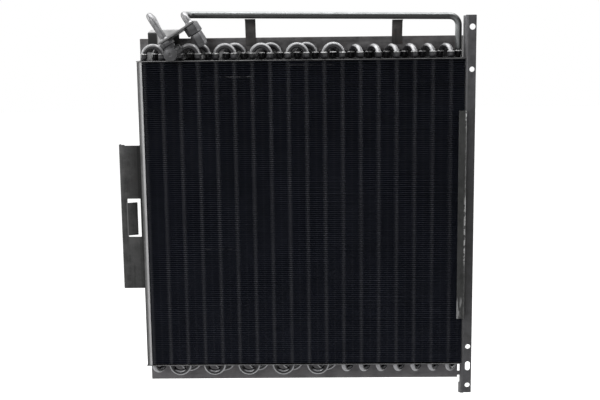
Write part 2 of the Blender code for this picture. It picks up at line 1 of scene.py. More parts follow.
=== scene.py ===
# Finned condenser coil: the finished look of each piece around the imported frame.
# Sizes are in millimetres times MM, in the coil's own axes: X to the right from
# the core's middle, Y to the back from the fins' front, Z up from the lower end
# plate's underside. settle() moves each finished piece to the frame's place.

import json
import math
import random

import bmesh
import bpy
from mathutils import Matrix, Vector

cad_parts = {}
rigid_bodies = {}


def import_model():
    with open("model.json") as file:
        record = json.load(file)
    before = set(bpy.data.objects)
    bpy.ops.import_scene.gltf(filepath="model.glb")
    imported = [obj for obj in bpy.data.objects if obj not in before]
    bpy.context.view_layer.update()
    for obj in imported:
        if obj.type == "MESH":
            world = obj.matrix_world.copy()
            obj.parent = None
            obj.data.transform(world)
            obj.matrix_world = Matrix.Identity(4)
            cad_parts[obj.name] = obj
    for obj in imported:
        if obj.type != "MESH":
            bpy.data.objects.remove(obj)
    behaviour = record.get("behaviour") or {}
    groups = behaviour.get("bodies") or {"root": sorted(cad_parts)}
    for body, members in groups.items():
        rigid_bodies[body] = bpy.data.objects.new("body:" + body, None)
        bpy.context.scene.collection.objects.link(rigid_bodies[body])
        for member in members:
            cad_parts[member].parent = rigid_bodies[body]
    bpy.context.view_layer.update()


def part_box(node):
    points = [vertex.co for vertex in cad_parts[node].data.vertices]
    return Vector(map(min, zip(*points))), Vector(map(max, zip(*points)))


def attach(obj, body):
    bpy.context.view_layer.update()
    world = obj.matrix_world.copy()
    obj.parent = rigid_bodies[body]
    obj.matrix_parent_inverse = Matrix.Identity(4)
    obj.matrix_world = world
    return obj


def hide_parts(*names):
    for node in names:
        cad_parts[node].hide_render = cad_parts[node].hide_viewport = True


for old in list(bpy.data.objects):
    bpy.data.objects.remove(old, do_unlink=True)

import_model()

MM = 0.001
SHEET = 1.2 * MM
SIDE_SHEET = 1.5 * MM
BRACKET_SHEET = 2.5 * MM
GAP = 0.3 * MM
TUBES_PER_ROW = 18
TUBE_R = 3.97 * MM
PIPE_R = 4.76 * MM

# The core's size and place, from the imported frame
fin_low, fin_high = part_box("fin_pack")
CORE_WIDTH = fin_high.x - fin_low.x
CORE_DEPTH = fin_high.y - fin_low.y
FIN_FOOT = SHEET + GAP
FIN_HEAD = fin_high.z - fin_low.z + FIN_FOOT
CORE_HEIGHT = FIN_HEAD + FIN_FOOT
HALF = CORE_WIDTH / 2.0
ZERO = Vector(((fin_low.x + fin_high.x) / 2.0, fin_low.y, fin_low.z - FIN_FOOT))

TUBE_PITCH = CORE_WIDTH / TUBES_PER_ROW
FRONT_ROW_Y = CORE_DEPTH / 4.0
REAR_ROW_Y = CORE_DEPTH * 0.75
FIRST_TUBE_X = -HALF + TUBE_PITCH / 4.0
BELL_RIM_Z = CORE_HEIGHT + 9.1 * MM
BELL_R = TUBE_R + 1.08 * MM
FLANGE_RISE = 11.0 * MM
BAR_Y = CORE_DEPTH + GAP
BAR_SHEET = 2.0 * MM
BAR_TOP = CORE_HEIGHT + 30.3 * MM
BAR_BOTTOM = -33.8 * MM
BAR_HEIGHT = 38.0 * MM
WEB_X = HALF + GAP
FLANGE_X = HALF + 14.9 * MM
FLANGE_TOP = CORE_HEIGHT + 58.9 * MM
FLANGE_BOTTOM = -44.2 * MM
BOLT_X = WEB_X + 9.2 * MM
RAIL_RIGHT = WEB_X + 1.7 * MM
LIQUID_X = FIRST_TUBE_X + 10.5 * TUBE_PITCH
DISCHARGE_X = FIRST_TUBE_X + 17.5 * TUBE_PITCH

looks = bpy.data.collections.new("finished_pieces")
bpy.context.scene.collection.children.link(looks)
draw = random.Random(11)


# Materials


def grey(level):
    return (level, level, level)


def add_node(tree, kind, inputs=(), **settings):
    """Add a shader node, each input set or linked from another node's output."""
    node = tree.nodes.new("ShaderNode" + kind)
    for name, value in settings.items():
        setattr(node, name, value)
    for key, value in dict(inputs).items():
        if isinstance(value, bpy.types.NodeSocket):
            tree.links.new(value, node.inputs[key])
        else:
            node.inputs[key].default_value = value
    return node


class Finish:
    """One procedural material, with short ways to add its nodes."""

    def __init__(self, name, roughness, metallic):
        self.material = bpy.data.materials.new(name)
        self.material.use_nodes = True
        self.tree = self.material.node_tree
        self.shader = self.tree.nodes["Principled BSDF"]
        self.shader.inputs["Roughness"].default_value = roughness
        self.shader.inputs["Metallic"].default_value = metallic
        self.place = self.node("TexCoord").outputs["Object"]

    def node(self, kind, inputs=(), **settings):
        return add_node(self.tree, kind, inputs, **settings)

    def link(self, source, name):
        """Link another node's output to one of the shader's own inputs."""
        self.tree.links.new(source, self.shader.inputs[name])

    def noise(self, scale, detail=4.0, rough=0.55, stretch=None):
        """Noise on the object's coordinates, which a scale on each axis may stretch."""
        place = self.place
        if stretch:
            place = self.node("Mapping", {"Vector": place, "Scale": stretch}).outputs["Vector"]
        inputs = {"Vector": place, "Scale": scale, "Detail": detail, "Roughness": rough}
        return self.node("TexNoise", inputs).outputs["Fac"]

    def span(self, value, low, high, first=0.0, last=1.0):
        """Maps low..high to first..last, with the ends held."""
        inputs = {"Value": value, "From Min": low, "From Max": high, "To Min": first, "To Max": last}
        return self.node("MapRange", inputs).outputs["Result"]

    def axis(self, name):
        """A place along an axis, in the coil's own millimetres."""
        place = self.node("SeparateXYZ", {"Vector": self.place}).outputs[name]
        from_zero = self.reckon("SUBTRACT", place, ZERO["XYZ".index(name)])
        return self.reckon("MULTIPLY", from_zero, 1.0 / MM)

    def facing(self, name):
        """How far the surface faces along an axis: 1 along it, -1 against it."""
        normal = self.node("NewGeometry").outputs["Normal"]
        return self.node("SeparateXYZ", {"Vector": normal}).outputs[name]

    def attribute(self, name):
        """A number that the piece's own points carry."""
        return self.node("Attribute", attribute_name=name).outputs["Fac"]

    def reckon(self, operation, first, second=0.0):
        return self.node("Math", {0: first, 1: second}, operation=operation).outputs["Value"]

    def both(self, *masks):
        """The product of several masks."""
        result = masks[0]
        for mask in masks[1:]:
            result = self.reckon("MULTIPLY", result, mask)
        return result

    def band(self, value, middle, half, soft):
        """One near a middle value, fading to nothing past half."""
        away = self.reckon("ABSOLUTE", self.reckon("SUBTRACT", value, middle))
        return self.span(away, half, half + soft, 1.0, 0.0)

    def blend(self, factor, first, second):
        """Two colours mixed, each a tuple or another node's output."""
        inputs = {"Factor": factor}
        for key, value in ((6, first), (7, second)):
            inputs[key] = (*value, 1.0) if isinstance(value, tuple) else value
        return self.node("Mix", inputs, data_type="RGBA").outputs[2]

    def colour(self, value):
        self.link(value, "Base Color")

    def over(self, mask, value, strength=1.0):
        """Lay a colour over the present one where a mask says so."""
        present = self.shader.inputs["Base Color"].links[0].from_socket
        if strength < 1.0:
            mask = self.reckon("MULTIPLY", mask, strength)
        self.colour(self.blend(mask, present, value))

    def roughen(self, scale, limits):
        """Let the roughness wander between two limits."""
        self.link(self.span(self.noise(scale), 0.3, 0.7, *limits), "Roughness")

    def bump(self, height, strength, distance):
        inputs = {"Height": height, "Strength": strength, "Distance": distance}
        self.link(self.node("Bump", inputs).outputs["Normal"], "Normal")


def gloss_black(name, dust):
    """Black enamel over tube or sheet, with dust that settles in soft patches."""
    made = Finish(name, 0.2, 0.0)
    made.shader.inputs["IOR"].default_value = 1.6
    patches = made.span(made.noise(38.0, 5.0), 0.42, 0.72)
    made.colour(made.blend(patches, (0.004, 0.004, 0.005), dust))
    made.over(made.span(made.noise(900.0, 2.0), 0.68, 0.74), (0.06, 0.06, 0.062))
    made.roughen(120.0, (0.16, 0.3))
    made.bump(made.noise(260.0, 3.0), 0.08, 0.0002)
    return made


def worn_paint(name, dark, light, rust, streak, rough=(0.42, 0.62)):
    """Thin satin paint on rolled steel: cloudy, streaked, speckled and a little rusty."""
    made = Finish(name, 0.5, 0.2)
    clouds = made.span(made.noise(52.0, 6.0, 0.7), 0.4, 0.6)
    made.colour(made.blend(clouds, dark, light))
    made.over(made.span(made.noise(260.0, 3.0, 0.6, streak), 0.42, 0.6), light, 0.5)
    made.over(made.span(made.noise(95.0, 5.0, 0.7), 0.56, 0.72), rust, 0.55)
    made.over(made.span(made.noise(1500.0, 2.0, 0.6), 0.64, 0.75), grey(0.2), 0.4)
    made.roughen(60.0, rough)
    made.bump(made.noise(700.0, 4.0, 0.6), 0.3, 0.00025)
    return made


def bright_metal(name, dark, light, streak, rough=(0.3, 0.45), metallic=0.85):
    """Bare or plated metal with drawn streaks and dull finger marks."""
    made = Finish(name, 0.3, metallic)
    marks = made.span(made.noise(70.0, 5.0, 0.6), 0.35, 0.68)
    made.colour(made.blend(marks, dark, light))
    made.over(made.span(made.noise(160.0, 3.0, 0.5, streak), 0.35, 0.65), dark, 0.3)
    made.roughen(110.0, rough)
    made.bump(made.noise(300.0, 3.0, 0.6), 0.05, 0.0002)
    return made


# Places in the coil's millimetres that several materials use
HALF_MM = HALF / MM
DEPTH_MM = CORE_DEPTH / MM
MIDDLE_Y_MM = DEPTH_MM / 2.0
MIDDLE_Z_MM = CORE_HEIGHT / MM / 2.0
RIM_MM = BELL_RIM_Z / MM

# The fins: dull black and dusty, with a painted sheen in front of each tube, where the tubes behind
# the fins catch light
fin_finish = Finish("fin_black", 0.55, 0.0)
fin_dust = fin_finish.span(fin_finish.noise(14.0, 5.0, 0.6), 0.4, 0.7)
fin_finish.colour(fin_finish.blend(fin_dust, (0.0105, 0.0130, 0.0235), (0.0190, 0.0220, 0.0360)))
fin_specks = fin_finish.span(fin_finish.noise(420.0, 3.0, 0.6, (0.35, 1.0, 1.0)), 0.62, 0.72)
fin_finish.over(fin_specks, (0.05, 0.052, 0.056), 0.4)
fin_x = fin_finish.axis("X")
fin_z = fin_finish.axis("Z")
stripe_shift = 0.3
from_first = fin_finish.reckon("SUBTRACT", fin_x, FIRST_TUBE_X / MM + stripe_shift)
pitches = fin_finish.reckon("DIVIDE", from_first, TUBE_PITCH / MM)
nearest = fin_finish.reckon("ROUND", pitches)
from_tube = fin_finish.reckon("ABSOLUTE", fin_finish.reckon("SUBTRACT", pitches, nearest))
# Painted sheen of the front row's tubes seen through the fins, in stripes that fade to the right
painted_tube_sheen = (0.084, 0.086, 0.100)
sheen_patches = fin_finish.span(fin_finish.noise(45.0, 4.0, 0.6, (1.0, 1.0, 0.5)), 0.3, 0.6, 0.6, 1.0)
stripe_fade = fin_finish.span(fin_x, -HALF_MM, HALF_MM, 1.0, 0.72)
at_front = fin_finish.span(fin_finish.axis("Y"), MIDDLE_Y_MM - 2.0, MIDDLE_Y_MM + 2.0, 1.0, 0.0)
at_back = fin_finish.span(at_front, 0.0, 1.0, 1.0, 0.0)
front_stripe = fin_finish.span(from_tube, 0.02, 0.14, 1.0, 0.0)
fin_finish.over(fin_finish.both(front_stripe, at_front, sheen_patches, stripe_fade), painted_tube_sheen)
# Painted sheen of the rear row's tubes seen through the fins
rear_shine = fin_finish.span(from_tube, 0.43, 0.48, 0.0, 0.14)
fin_finish.over(fin_finish.both(rear_shine, at_front), painted_tube_sheen)
rear_stripe = fin_finish.span(from_tube, 0.36, 0.48)
fin_finish.over(fin_finish.both(rear_stripe, at_back, sheen_patches), painted_tube_sheen)

# Scraped lines across the fins, each by its height, its middle and half its length
SCRAPES = ((420.6, -96.0, 24.0), (437.0, 12.0, 30.0), (174.0, -122.0, 16.0))
for scrape_z, scrape_x, scrape_half in SCRAPES:
    scrape = fin_finish.both(
        fin_finish.band(fin_z, scrape_z, 0.5, 0.5),
        fin_finish.band(fin_x, scrape_x, scrape_half, 6.0),
        fin_finish.span(fin_finish.noise(170.0, 2.0), 0.42, 0.56),
        at_front,
    )
    fin_finish.over(scrape, (0.2, 0.2, 0.21))
fin_finish.roughen(60.0, (0.45, 0.65))
fin_finish.bump(fin_finish.noise(260.0, 3.0), 0.25, 0.0003)

# Tubes: enamel, paler inside the core as a painted sheen behind the fins, with a painted highlight
# on the braze ring at the bells' rims
tube_finish = gloss_black("tube_enamel", (0.014, 0.014, 0.016))
tube_z = tube_finish.axis("Z")
# Painted highlight on the braze ring at each bell's rim
rim = tube_finish.band(tube_z, RIM_MM + 0.3, 0.7, 0.5)
rim_highlight_patches = tube_finish.span(tube_finish.noise(300.0), 0.35, 0.6)
tube_finish.over(tube_finish.both(rim, rim_highlight_patches), grey(0.6))
# Painted sheen on the tube legs inside the core, where they catch light behind the fins
inside = tube_finish.band(tube_z, MIDDLE_Z_MM, MIDDLE_Z_MM - 2.5, 0.5)
tube_finish.over(inside, (0.12, 0.12, 0.13))
above_rim = tube_finish.span(tube_z, RIM_MM, RIM_MM + 1.0)
tube_finish.over(above_rim, (0.042, 0.041, 0.044), 0.6)

# Bends: a painted highlight along the crown above, a painted reflection along the keel below and a
# painted highlight on the keel's inner side
crown = tube_finish.attribute("crown")
# Painted highlight along each bend's crown, as strong as its "shine" says
highlight_patches = tube_finish.span(tube_finish.noise(55.0, 4.0, 0.6), 0.3, 0.6, 0.65, 1.0)
crown_highlight = tube_finish.both(
    tube_finish.span(crown, 0.12, 0.5),
    tube_finish.span(crown, 0.82, 1.0, 1.0, 0.3),
    tube_finish.attribute("shine"),
    above_rim,
    highlight_patches,
)
tube_finish.over(crown_highlight, (0.85, 0.85, 0.87))
# Painted reflection along the outer keel of each hairpin
keel_reflection = tube_finish.both(
    tube_finish.span(crown, 0.3, 0.55),
    tube_finish.span(tube_z, -3.0, -1.0, 1.0, 0.0),
    highlight_patches,
)
tube_finish.over(keel_reflection, (0.42, 0.42, 0.44))
# Painted highlight on the inner side of each hairpin's keel
inner_keel_highlight = tube_finish.both(
    tube_finish.band(crown, -0.57, 0.15, 0.2),
    tube_finish.span(tube_z, -10.2, -8.4, 1.0, 0.0),
    highlight_patches,
)
tube_finish.over(inner_keel_highlight, (0.4, 0.4, 0.42))
# Paler patches on the front row's bells, below the rims
front_bell_patches = tube_finish.both(
    tube_finish.band(tube_z, RIM_MM - 4.2, 2.2, 1.2),
    tube_finish.span(tube_finish.axis("Y"), MIDDLE_Y_MM - 6.0, MIDDLE_Y_MM, 1.0, 0.0),
    tube_finish.span(tube_finish.noise(75.0, 3.0), 0.35, 0.6),
)
tube_finish.over(front_bell_patches, (0.075, 0.075, 0.08))

# End plates: the same enamel, pale along the front edge from wear and from a painted highlight where
# the edge catches light
plate_finish = gloss_black("end_plate_enamel", (0.022, 0.022, 0.024))
front_edge = plate_finish.span(plate_finish.axis("Y"), -1.75, -1.35, 1.0, 0.0)
edge_wear_and_highlight = plate_finish.span(plate_finish.noise(85.0, 4.0, 0.6), 0.32, 0.6, 0.35, 1.0)
plate_finish.over(plate_finish.both(front_edge, edge_wear_and_highlight), (0.17, 0.17, 0.172))

# Which way rolled sheet is streaked
ALONG_X = (0.08, 1.0, 1.0)
ALONG_Z = (1.0, 1.0, 0.05)

# Frame bars: grey, and paler on the lower bar
bar_finish = worn_paint(
    "bar_paint", (0.070, 0.067, 0.069), (0.152, 0.147, 0.150), (0.120, 0.088, 0.082), ALONG_X
)
low_bar = bar_finish.span(bar_finish.axis("Z"), 0.0, 30.0, 0.45, 0.0)
bar_finish.over(low_bar, (0.155, 0.150, 0.160))

# Right bracket: grey, and darker around its middle
flange_finish = worn_paint(
    "flange_paint", (0.058, 0.058, 0.061), (0.106, 0.105, 0.111), (0.100, 0.094, 0.092), ALONG_Z
)
flange_middle = flange_finish.band(flange_finish.axis("Z"), 200.0, 60.0, 160.0)
flange_finish.over(flange_middle, grey(0.016), 0.62)

# Left bracket: painted shade towards the core, above the window and beside the core, and a painted
# highlight along the tab's fold
window_finish = worn_paint(
    "window_bracket_paint", grey(0.030), grey(0.074), (0.080, 0.074, 0.070), ALONG_Z
)
window_x = window_finish.axis("X")
window_z = window_finish.axis("Z")
# Painted shade towards the core, deeper above the window
towards_core = window_finish.span(window_x, -254.0, -237.0, 0.0, 0.7)
above_window = window_finish.span(window_z, 246.0, 254.0, 0.25, 1.0)
window_finish.over(window_finish.both(towards_core, above_window), grey(0.004))
# Painted highlight along the tab's fold
fold_line = window_finish.band(window_x, -HALF_MM - 23.8, 0.5, 0.5)
fold_length = window_finish.band(window_z, 219.0, 24.0, 1.0)
window_finish.over(window_finish.both(fold_line, fold_length), grey(0.16))
# Painted shade beside the core, deeper higher up
beside_core = window_finish.band(window_x, -233.2, 2.2, 1.2)
shade_rise = window_finish.span(window_z, 225.0, 250.0, 0.35, 0.95)
window_finish.over(window_finish.both(beside_core, shade_rise), grey(0.003))

# Pipe clips: rusty grey, with painted shade at the top, under the pipe
clip_finish = worn_paint(
    "clip_paint", (0.040, 0.038, 0.038), (0.092, 0.086, 0.084), (0.110, 0.066, 0.056), ALONG_Z
)
clip_top_shade = clip_finish.span(clip_finish.axis("Z"), 489.0, 497.0, 0.0, 0.85)
clip_finish.over(clip_top_shade, grey(0.006))

# The rail: dark paint, chipped along its right edge and scratched near its foot
rail_finish = worn_paint(
    "rail_paint", (0.018, 0.019, 0.018), (0.042, 0.043, 0.042), (0.05, 0.05, 0.048), ALONG_Z
)
rail_x = rail_finish.axis("X")
rail_z = rail_finish.axis("Z")
high_chips = rail_finish.band(rail_z, 361.0, 9.0, 6.0)
middle_chips = rail_finish.band(rail_z, 200.0, 42.0, 10.0)
chipped = rail_finish.reckon("MAXIMUM", high_chips, middle_chips)
chips = rail_finish.both(
    rail_finish.span(rail_x, RAIL_RIGHT / MM - 3.0, RAIL_RIGHT / MM - 1.8),
    rail_finish.span(rail_finish.noise(170.0, 5.0, 0.7), 0.47, 0.53),
    rail_finish.span(chipped, 0.0, 1.0, 0.15, 1.0),
    rail_finish.span(rail_finish.axis("Y"), -9.6, -7.6, 1.0, 0.0),
)
rail_finish.over(chips, grey(0.34))
scratches = rail_finish.both(
    rail_finish.span(rail_z, 95.0, 104.0, 1.0, 0.0),
    rail_finish.span(rail_finish.noise(330.0, 4.0, 0.65, (1.0, 1.0, 0.12)), 0.5, 0.58),
)
rail_finish.over(scratches, (0.27, 0.27, 0.275))

# The side plate: grey, with a painted highlight on its lip's inner half and painted shade on its
# rolled edge
side_finish = worn_paint(
    "side_plate_paint", grey(0.110), grey(0.190), grey(0.2), ALONG_Z, (0.6, 0.8)
)
side_x = side_finish.axis("X")
# Painted highlight on the lip's inner half
lip_highlight = side_finish.span(side_x, -HALF_MM + 0.4, -HALF_MM + 2.4)
lip_highlight_patches = side_finish.span(side_finish.noise(30.0, 4.0), 0.3, 0.55, 0.8, 1.0)
side_finish.over(side_finish.both(lip_highlight, lip_highlight_patches), (0.62, 0.62, 0.625))
# Painted shade on the rolled edge
rolled_edge_shade = side_finish.span(side_x, -HALF_MM - 1.9, -HALF_MM - 0.9, 1.0, 0.0)
side_finish.over(rolled_edge_shade, grey(0.030))

# Fittings: dull plated metal
fitting_finish = bright_metal(
    "fitting_metal", (0.062, 0.062, 0.064), (0.150, 0.150, 0.156), (1.0, 1.0, 6.0), metallic=0.5
)

# The fittings' bracket: a pale tab with painted shade below its plate and on its left, low down, and
# a grey plate
bracket_finish = bright_metal(
    "fitting_bracket_metal", grey(0.68), grey(0.92), (6.0, 1.0, 1.0), metallic=0.1
)
bracket_x = bracket_finish.axis("X")
bracket_z = bracket_finish.axis("Z")
PLATE_RISE = 0.625
climb = bracket_finish.reckon("MULTIPLY", bracket_x, PLATE_RISE)
above_slope = bracket_finish.reckon("SUBTRACT", bracket_z, climb)
# Painted shade on the tab below the sloping plate and on its left part, low down
shade_below_plate = bracket_finish.span(above_slope, 592.5, 598.5, 1.0, 0.0)
shade_left = bracket_finish.both(
    bracket_finish.span(bracket_x, -207.5, -204.5, 1.0, 0.0),
    bracket_finish.span(bracket_z, 482.5, 485.0, 1.0, 0.0),
)
on_tab = bracket_finish.span(bracket_finish.axis("Y"), DEPTH_MM - 3.0, DEPTH_MM - 2.0)
painted_shade = bracket_finish.reckon("MAXIMUM", shade_below_plate, shade_left)
bracket_finish.over(bracket_finish.both(painted_shade, on_tab), grey(0.012))
bracket_finish.over(bracket_finish.span(on_tab, 0.0, 1.0, 0.85, 0.0), grey(0.09))

# Elbow and liquid pipe: silver, with painted shade on the sides that face left and lower down, and
# black where the liquid pipe runs behind the bends
silver_finish = bright_metal(
    "silver_pipe_metal", (0.24, 0.24, 0.245), (0.48, 0.48, 0.49), (1.0, 1.0, 0.3), (0.32, 0.46), 0.7
)
# Painted shade on the sides that face left
left_side_shade = silver_finish.span(silver_finish.facing("X"), -0.9, -0.35, 0.88, 0.0)
silver_finish.over(left_side_shade, grey(0.05))
# Painted shade lower down
low_side_shade = silver_finish.span(silver_finish.axis("Z"), 478.0, 498.0, 0.45, 0.0)
silver_finish.over(low_side_shade, (0.2, 0.2, 0.205))
behind_bends = silver_finish.both(
    silver_finish.span(silver_finish.axis("Y"), DEPTH_MM - 2.0, DEPTH_MM, 1.0, 0.0),
    silver_finish.span(silver_finish.axis("X"), LIQUID_X / MM - 30.0, LIQUID_X / MM - 20.0),
)
silver_finish.over(behind_bends, (0.008, 0.008, 0.009))

# Discharge pipe: steel, with painted shade under its run and on the right of its drop
steel_finish = bright_metal(
    "steel_pipe_metal", (0.23, 0.24, 0.24), (0.31, 0.32, 0.325), (0.15, 1.0, 1.0), (0.34, 0.46)
)
pipe_shade = grey(0.045)
steel_x = steel_finish.axis("X")
drop_start = DISCHARGE_X / MM - 14.0
drop_full = drop_start + 10.0
# Painted shade on the run's lower side
shade_below_run = steel_finish.both(
    steel_finish.span(steel_finish.facing("Z"), 0.0, 0.66, 0.86, 0.0),
    steel_finish.span(steel_x, drop_start, drop_full, 1.0, 0.0),
)
steel_finish.over(shade_below_run, pipe_shade)
# Painted shade on the drop's right side
shade_right_of_drop = steel_finish.both(
    steel_finish.span(steel_finish.facing("X"), 0.15, 0.55, 0.0, 0.8),
    steel_finish.span(steel_x, drop_start, drop_full),
)
steel_finish.over(shade_right_of_drop, pipe_shade)


# Shaping tools

MERGE = 0.01 * MM
PIPE_SIDES = 32
HEXAGON_EDGE = 0.35 * MM


def settle(name, bm, finish, slot_name, *nodes, sharp=32.0):
    """Turn a bmesh into a piece of the part, in the frame's place."""
    bmesh.ops.recalc_face_normals(bm, faces=bm.faces)
    bmesh.ops.translate(bm, vec=ZERO, verts=bm.verts)
    mesh = bpy.data.meshes.new(name)
    bm.to_mesh(mesh)
    bm.free()
    mesh.shade_smooth()
    mesh.set_sharp_from_angle(angle=math.radians(sharp))
    mesh.materials.append(finish.material)
    piece = bpy.data.objects.new(name, mesh)
    looks.objects.link(piece)
    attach(piece, "root")
    if nodes:
        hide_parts(*nodes)
    return piece


def join(bm, other):
    """Add a second bmesh's shells to the first."""
    carrier = bpy.data.meshes.new("carrier")
    other.to_mesh(carrier)
    other.free()
    bm.from_mesh(carrier)
    bpy.data.meshes.remove(carrier)
    return bm


def new_verts(made):
    return [item for item in made["geom"] if isinstance(item, bmesh.types.BMVert)]


def new_edges(made, key="geom"):
    return [item for item in made[key] if isinstance(item, bmesh.types.BMEdge)]


def rounded(corners, steps=5):
    """An outline's points; a corner with a radius becomes an arc."""
    points = []
    count = len(corners)
    for index, corner in enumerate(corners):
        here = Vector(corner[:2])
        radius = corner[2] if len(corner) > 2 else 0.0
        if not radius:
            points.append(here)
            continue
        back = (Vector(corners[index - 1][:2]) - here).normalized()
        ahead = (Vector(corners[(index + 1) % count][:2]) - here).normalized()
        half_angle = back.angle(ahead) / 2.0
        centre = here + (back + ahead).normalized() * (radius / math.sin(half_angle))
        start = here + back * (radius / math.tan(half_angle)) - centre
        end = here + ahead * (radius / math.tan(half_angle)) - centre
        sweep = start.angle_signed(end)
        for k in range(steps + 1):
            points.append(centre + Matrix.Rotation(-sweep * k / steps, 2) @ start)
    return points


AXES = {
    "X": lambda a, b, level: Vector((level, a, b)),
    "Y": lambda a, b, level: Vector((a, level, b)),
    "Z": lambda a, b, level: Vector((a, b, level)),
}


def round_edges(bm, edges, width):
    bmesh.ops.bevel(
        bm,
        geom=edges,
        offset=width,
        segments=2,
        affect="EDGES",
        profile=0.5,
        material=-1,
        clamp_overlap=True,
    )
    return bm


def soften(bm, width, limit=40.0):
    """Round the sharp edges of a shape."""
    bmesh.ops.recalc_face_normals(bm, faces=bm.faces)
    bm.normal_update()
    turn = math.radians(limit)
    edges = [e for e in bm.edges if len(e.link_faces) == 2 and e.calc_face_angle() > turn]
    return round_edges(bm, edges, width)


def plate(outline, low, high, axis, holes=(), edge=0.25 * MM, round_steps=24):
    """A flat sheet with holes, drawn from low to high along an axis.

    A hole is (a, b, radius) or (a, b, radius, stretch) or a list of corners.
    """
    bm = bmesh.new()
    where = AXES[axis]
    loops = [outline]
    for hole in holes:
        if isinstance(hole, list):
            loops.append(hole)
            continue
        loop = []
        for k in range(round_steps):
            angle = 2.0 * math.pi * (k + 0.5) / round_steps
            rise = math.sin(angle) * hole[2]
            if len(hole) > 3:
                rise += math.copysign(hole[3], rise)
            loop.append(Vector((hole[0] + math.cos(angle) * hole[2], hole[1] + rise)))
        loops.append(loop)
    for loop in loops:
        verts = [bm.verts.new(where(point[0], point[1], low)) for point in loop]
        for index, vert in enumerate(verts):
            bm.edges.new((vert, verts[(index + 1) % len(verts)]))
    if len(loops) == 1:
        bmesh.ops.contextual_create(bm, geom=bm.edges[:])
    else:
        bmesh.ops.triangle_fill(bm, edges=bm.edges[:], use_beauty=True, use_dissolve=False)
    made = bmesh.ops.extrude_face_region(bm, geom=bm.faces[:], use_keep_orig=True)
    bmesh.ops.translate(bm, vec=where(0.0, 0.0, high - low), verts=new_verts(made))
    return soften(bm, edge) if edge else bm


def box_of(x, y, z, edge=0.3 * MM):
    """A block between two limits on each axis, with soft edges."""
    bm = bmesh.new()
    bmesh.ops.create_cube(bm, size=1.0)
    size = Vector((x[1] - x[0], y[1] - y[0], z[1] - z[0]))
    bmesh.ops.scale(bm, vec=size, verts=bm.verts)
    centre = Vector((x[0] + x[1], y[0] + y[1], z[0] + z[1])) / 2.0
    bmesh.ops.translate(bm, vec=centre, verts=bm.verts)
    return soften(bm, edge)


def aim(bm, start, direction):
    """Stand a shape that was made along Z at a point, along a direction."""
    swing = direction.to_track_quat("Z", "Y").to_matrix()
    bmesh.ops.rotate(bm, matrix=swing, verts=bm.verts)
    bmesh.ops.translate(bm, vec=start, verts=bm.verts)
    return bm


def turned(profile, steps=40):
    """A profile of (radius, height) points turned round Z; ends at radius 0 close it."""
    bm = bmesh.new()
    verts = [bm.verts.new((radius, 0.0, height)) for radius, height in profile]
    edges = [bm.edges.new(pair) for pair in zip(verts, verts[1:])]
    bmesh.ops.spin(
        bm,
        geom=verts + edges,
        cent=(0.0, 0.0, 0.0),
        axis=(0.0, 0.0, 1.0),
        dvec=(0.0, 0.0, 0.0),
        angle=2.0 * math.pi,
        steps=steps,
        use_merge=True,
        use_duplicate=False,
    )
    bmesh.ops.remove_doubles(bm, verts=bm.verts, dist=MERGE)
    return bm


def hexagon(radius, low, high, chamfer):
    """A hexagon nut's body along Z, its ends chamfered."""
    bm = bmesh.new()
    bmesh.ops.create_cone(
        bm, cap_ends=True, segments=6, radius1=radius, radius2=radius, depth=high - low
    )
    bmesh.ops.translate(bm, vec=(0.0, 0.0, (low + high) / 2.0), verts=bm.verts)
    rims = [e for e in bm.edges if abs(e.verts[0].co.z - e.verts[1].co.z) < 0.1 * MM]
    round_edges(bm, rims, chamfer)
    return soften(bm, HEXAGON_EDGE, limit=50.0)


def draw_ring(bm, ring, shift):
    """Draw a ring of edges along a straight run."""
    made = bmesh.ops.extrude_edge_only(bm, edges=ring)
    verts = new_verts(made)
    bmesh.ops.translate(bm, vec=shift, verts=verts)
    fresh = set(verts)
    return [e for e in new_edges(made) if e.verts[0] in fresh and e.verts[1] in fresh]


def resize_ring(bm, ring, centre, factor):
    verts = list({vert for edge in ring for vert in edge.verts})
    for vert in verts:
        vert.co = centre + (vert.co - centre) * factor


def turn_ring(bm, ring, centre, axis, angle, steps):
    """Spin a ring of edges round a bend's centre."""
    made = bmesh.ops.spin(
        bm,
        geom=ring,
        cent=centre,
        axis=axis,
        dvec=(0.0, 0.0, 0.0),
        angle=angle,
        steps=steps,
        use_merge=False,
        use_duplicate=False,
    )
    return new_edges(made, "geom_last")


def pipe_run(points, radius, bend, steps=14, mouths=()):
    """A pipe along a route: a ring drawn along its straights and spun at its corners.

    mouths holds (length, factor) steps that narrow the pipe at its far end.
    """
    bm = bmesh.new()
    bmesh.ops.create_circle(bm, cap_ends=False, segments=PIPE_SIDES, radius=radius)
    heading = (points[1] - points[0]).normalized()
    aim(bm, points[0], heading)
    ring = bm.edges[:]
    bmesh.ops.contextual_create(bm, geom=ring)
    position = points[0]
    last = len(points) - 1
    for index in range(1, last):
        corner = points[index]
        before = points[index - 1] - corner
        after = points[index + 1] - corner
        angle = before.angle(after)
        reach = bend / math.tan(angle / 2.0)
        reach = min(
            reach,
            before.length * (0.9 if index == 1 else 0.48),
            after.length * (0.9 if index == last - 1 else 0.48),
        )
        bend_r = reach * math.tan(angle / 2.0)
        before.normalize()
        after.normalize()
        start = corner + before * reach
        middle = corner + (before + after).normalized() * (bend_r / math.sin(angle / 2.0))
        axis = (start - middle).cross(corner + after * reach - middle).normalized()
        ring = draw_ring(bm, ring, start - position)
        count = max(3, round(steps * (math.pi - angle) / (math.pi / 2.0)))
        ring = turn_ring(bm, ring, middle, axis, math.pi - angle, count)
        position = corner + after * reach
    heading = (points[-1] - points[-2]).normalized()
    ring = draw_ring(bm, ring, points[-1] - position)
    position = points[-1].copy()
    for length, factor in mouths:
        ring = draw_ring(bm, ring, heading * length)
        position += heading * length
        resize_ring(bm, ring, position, factor)
    bmesh.ops.contextual_create(bm, geom=ring)
    return bm


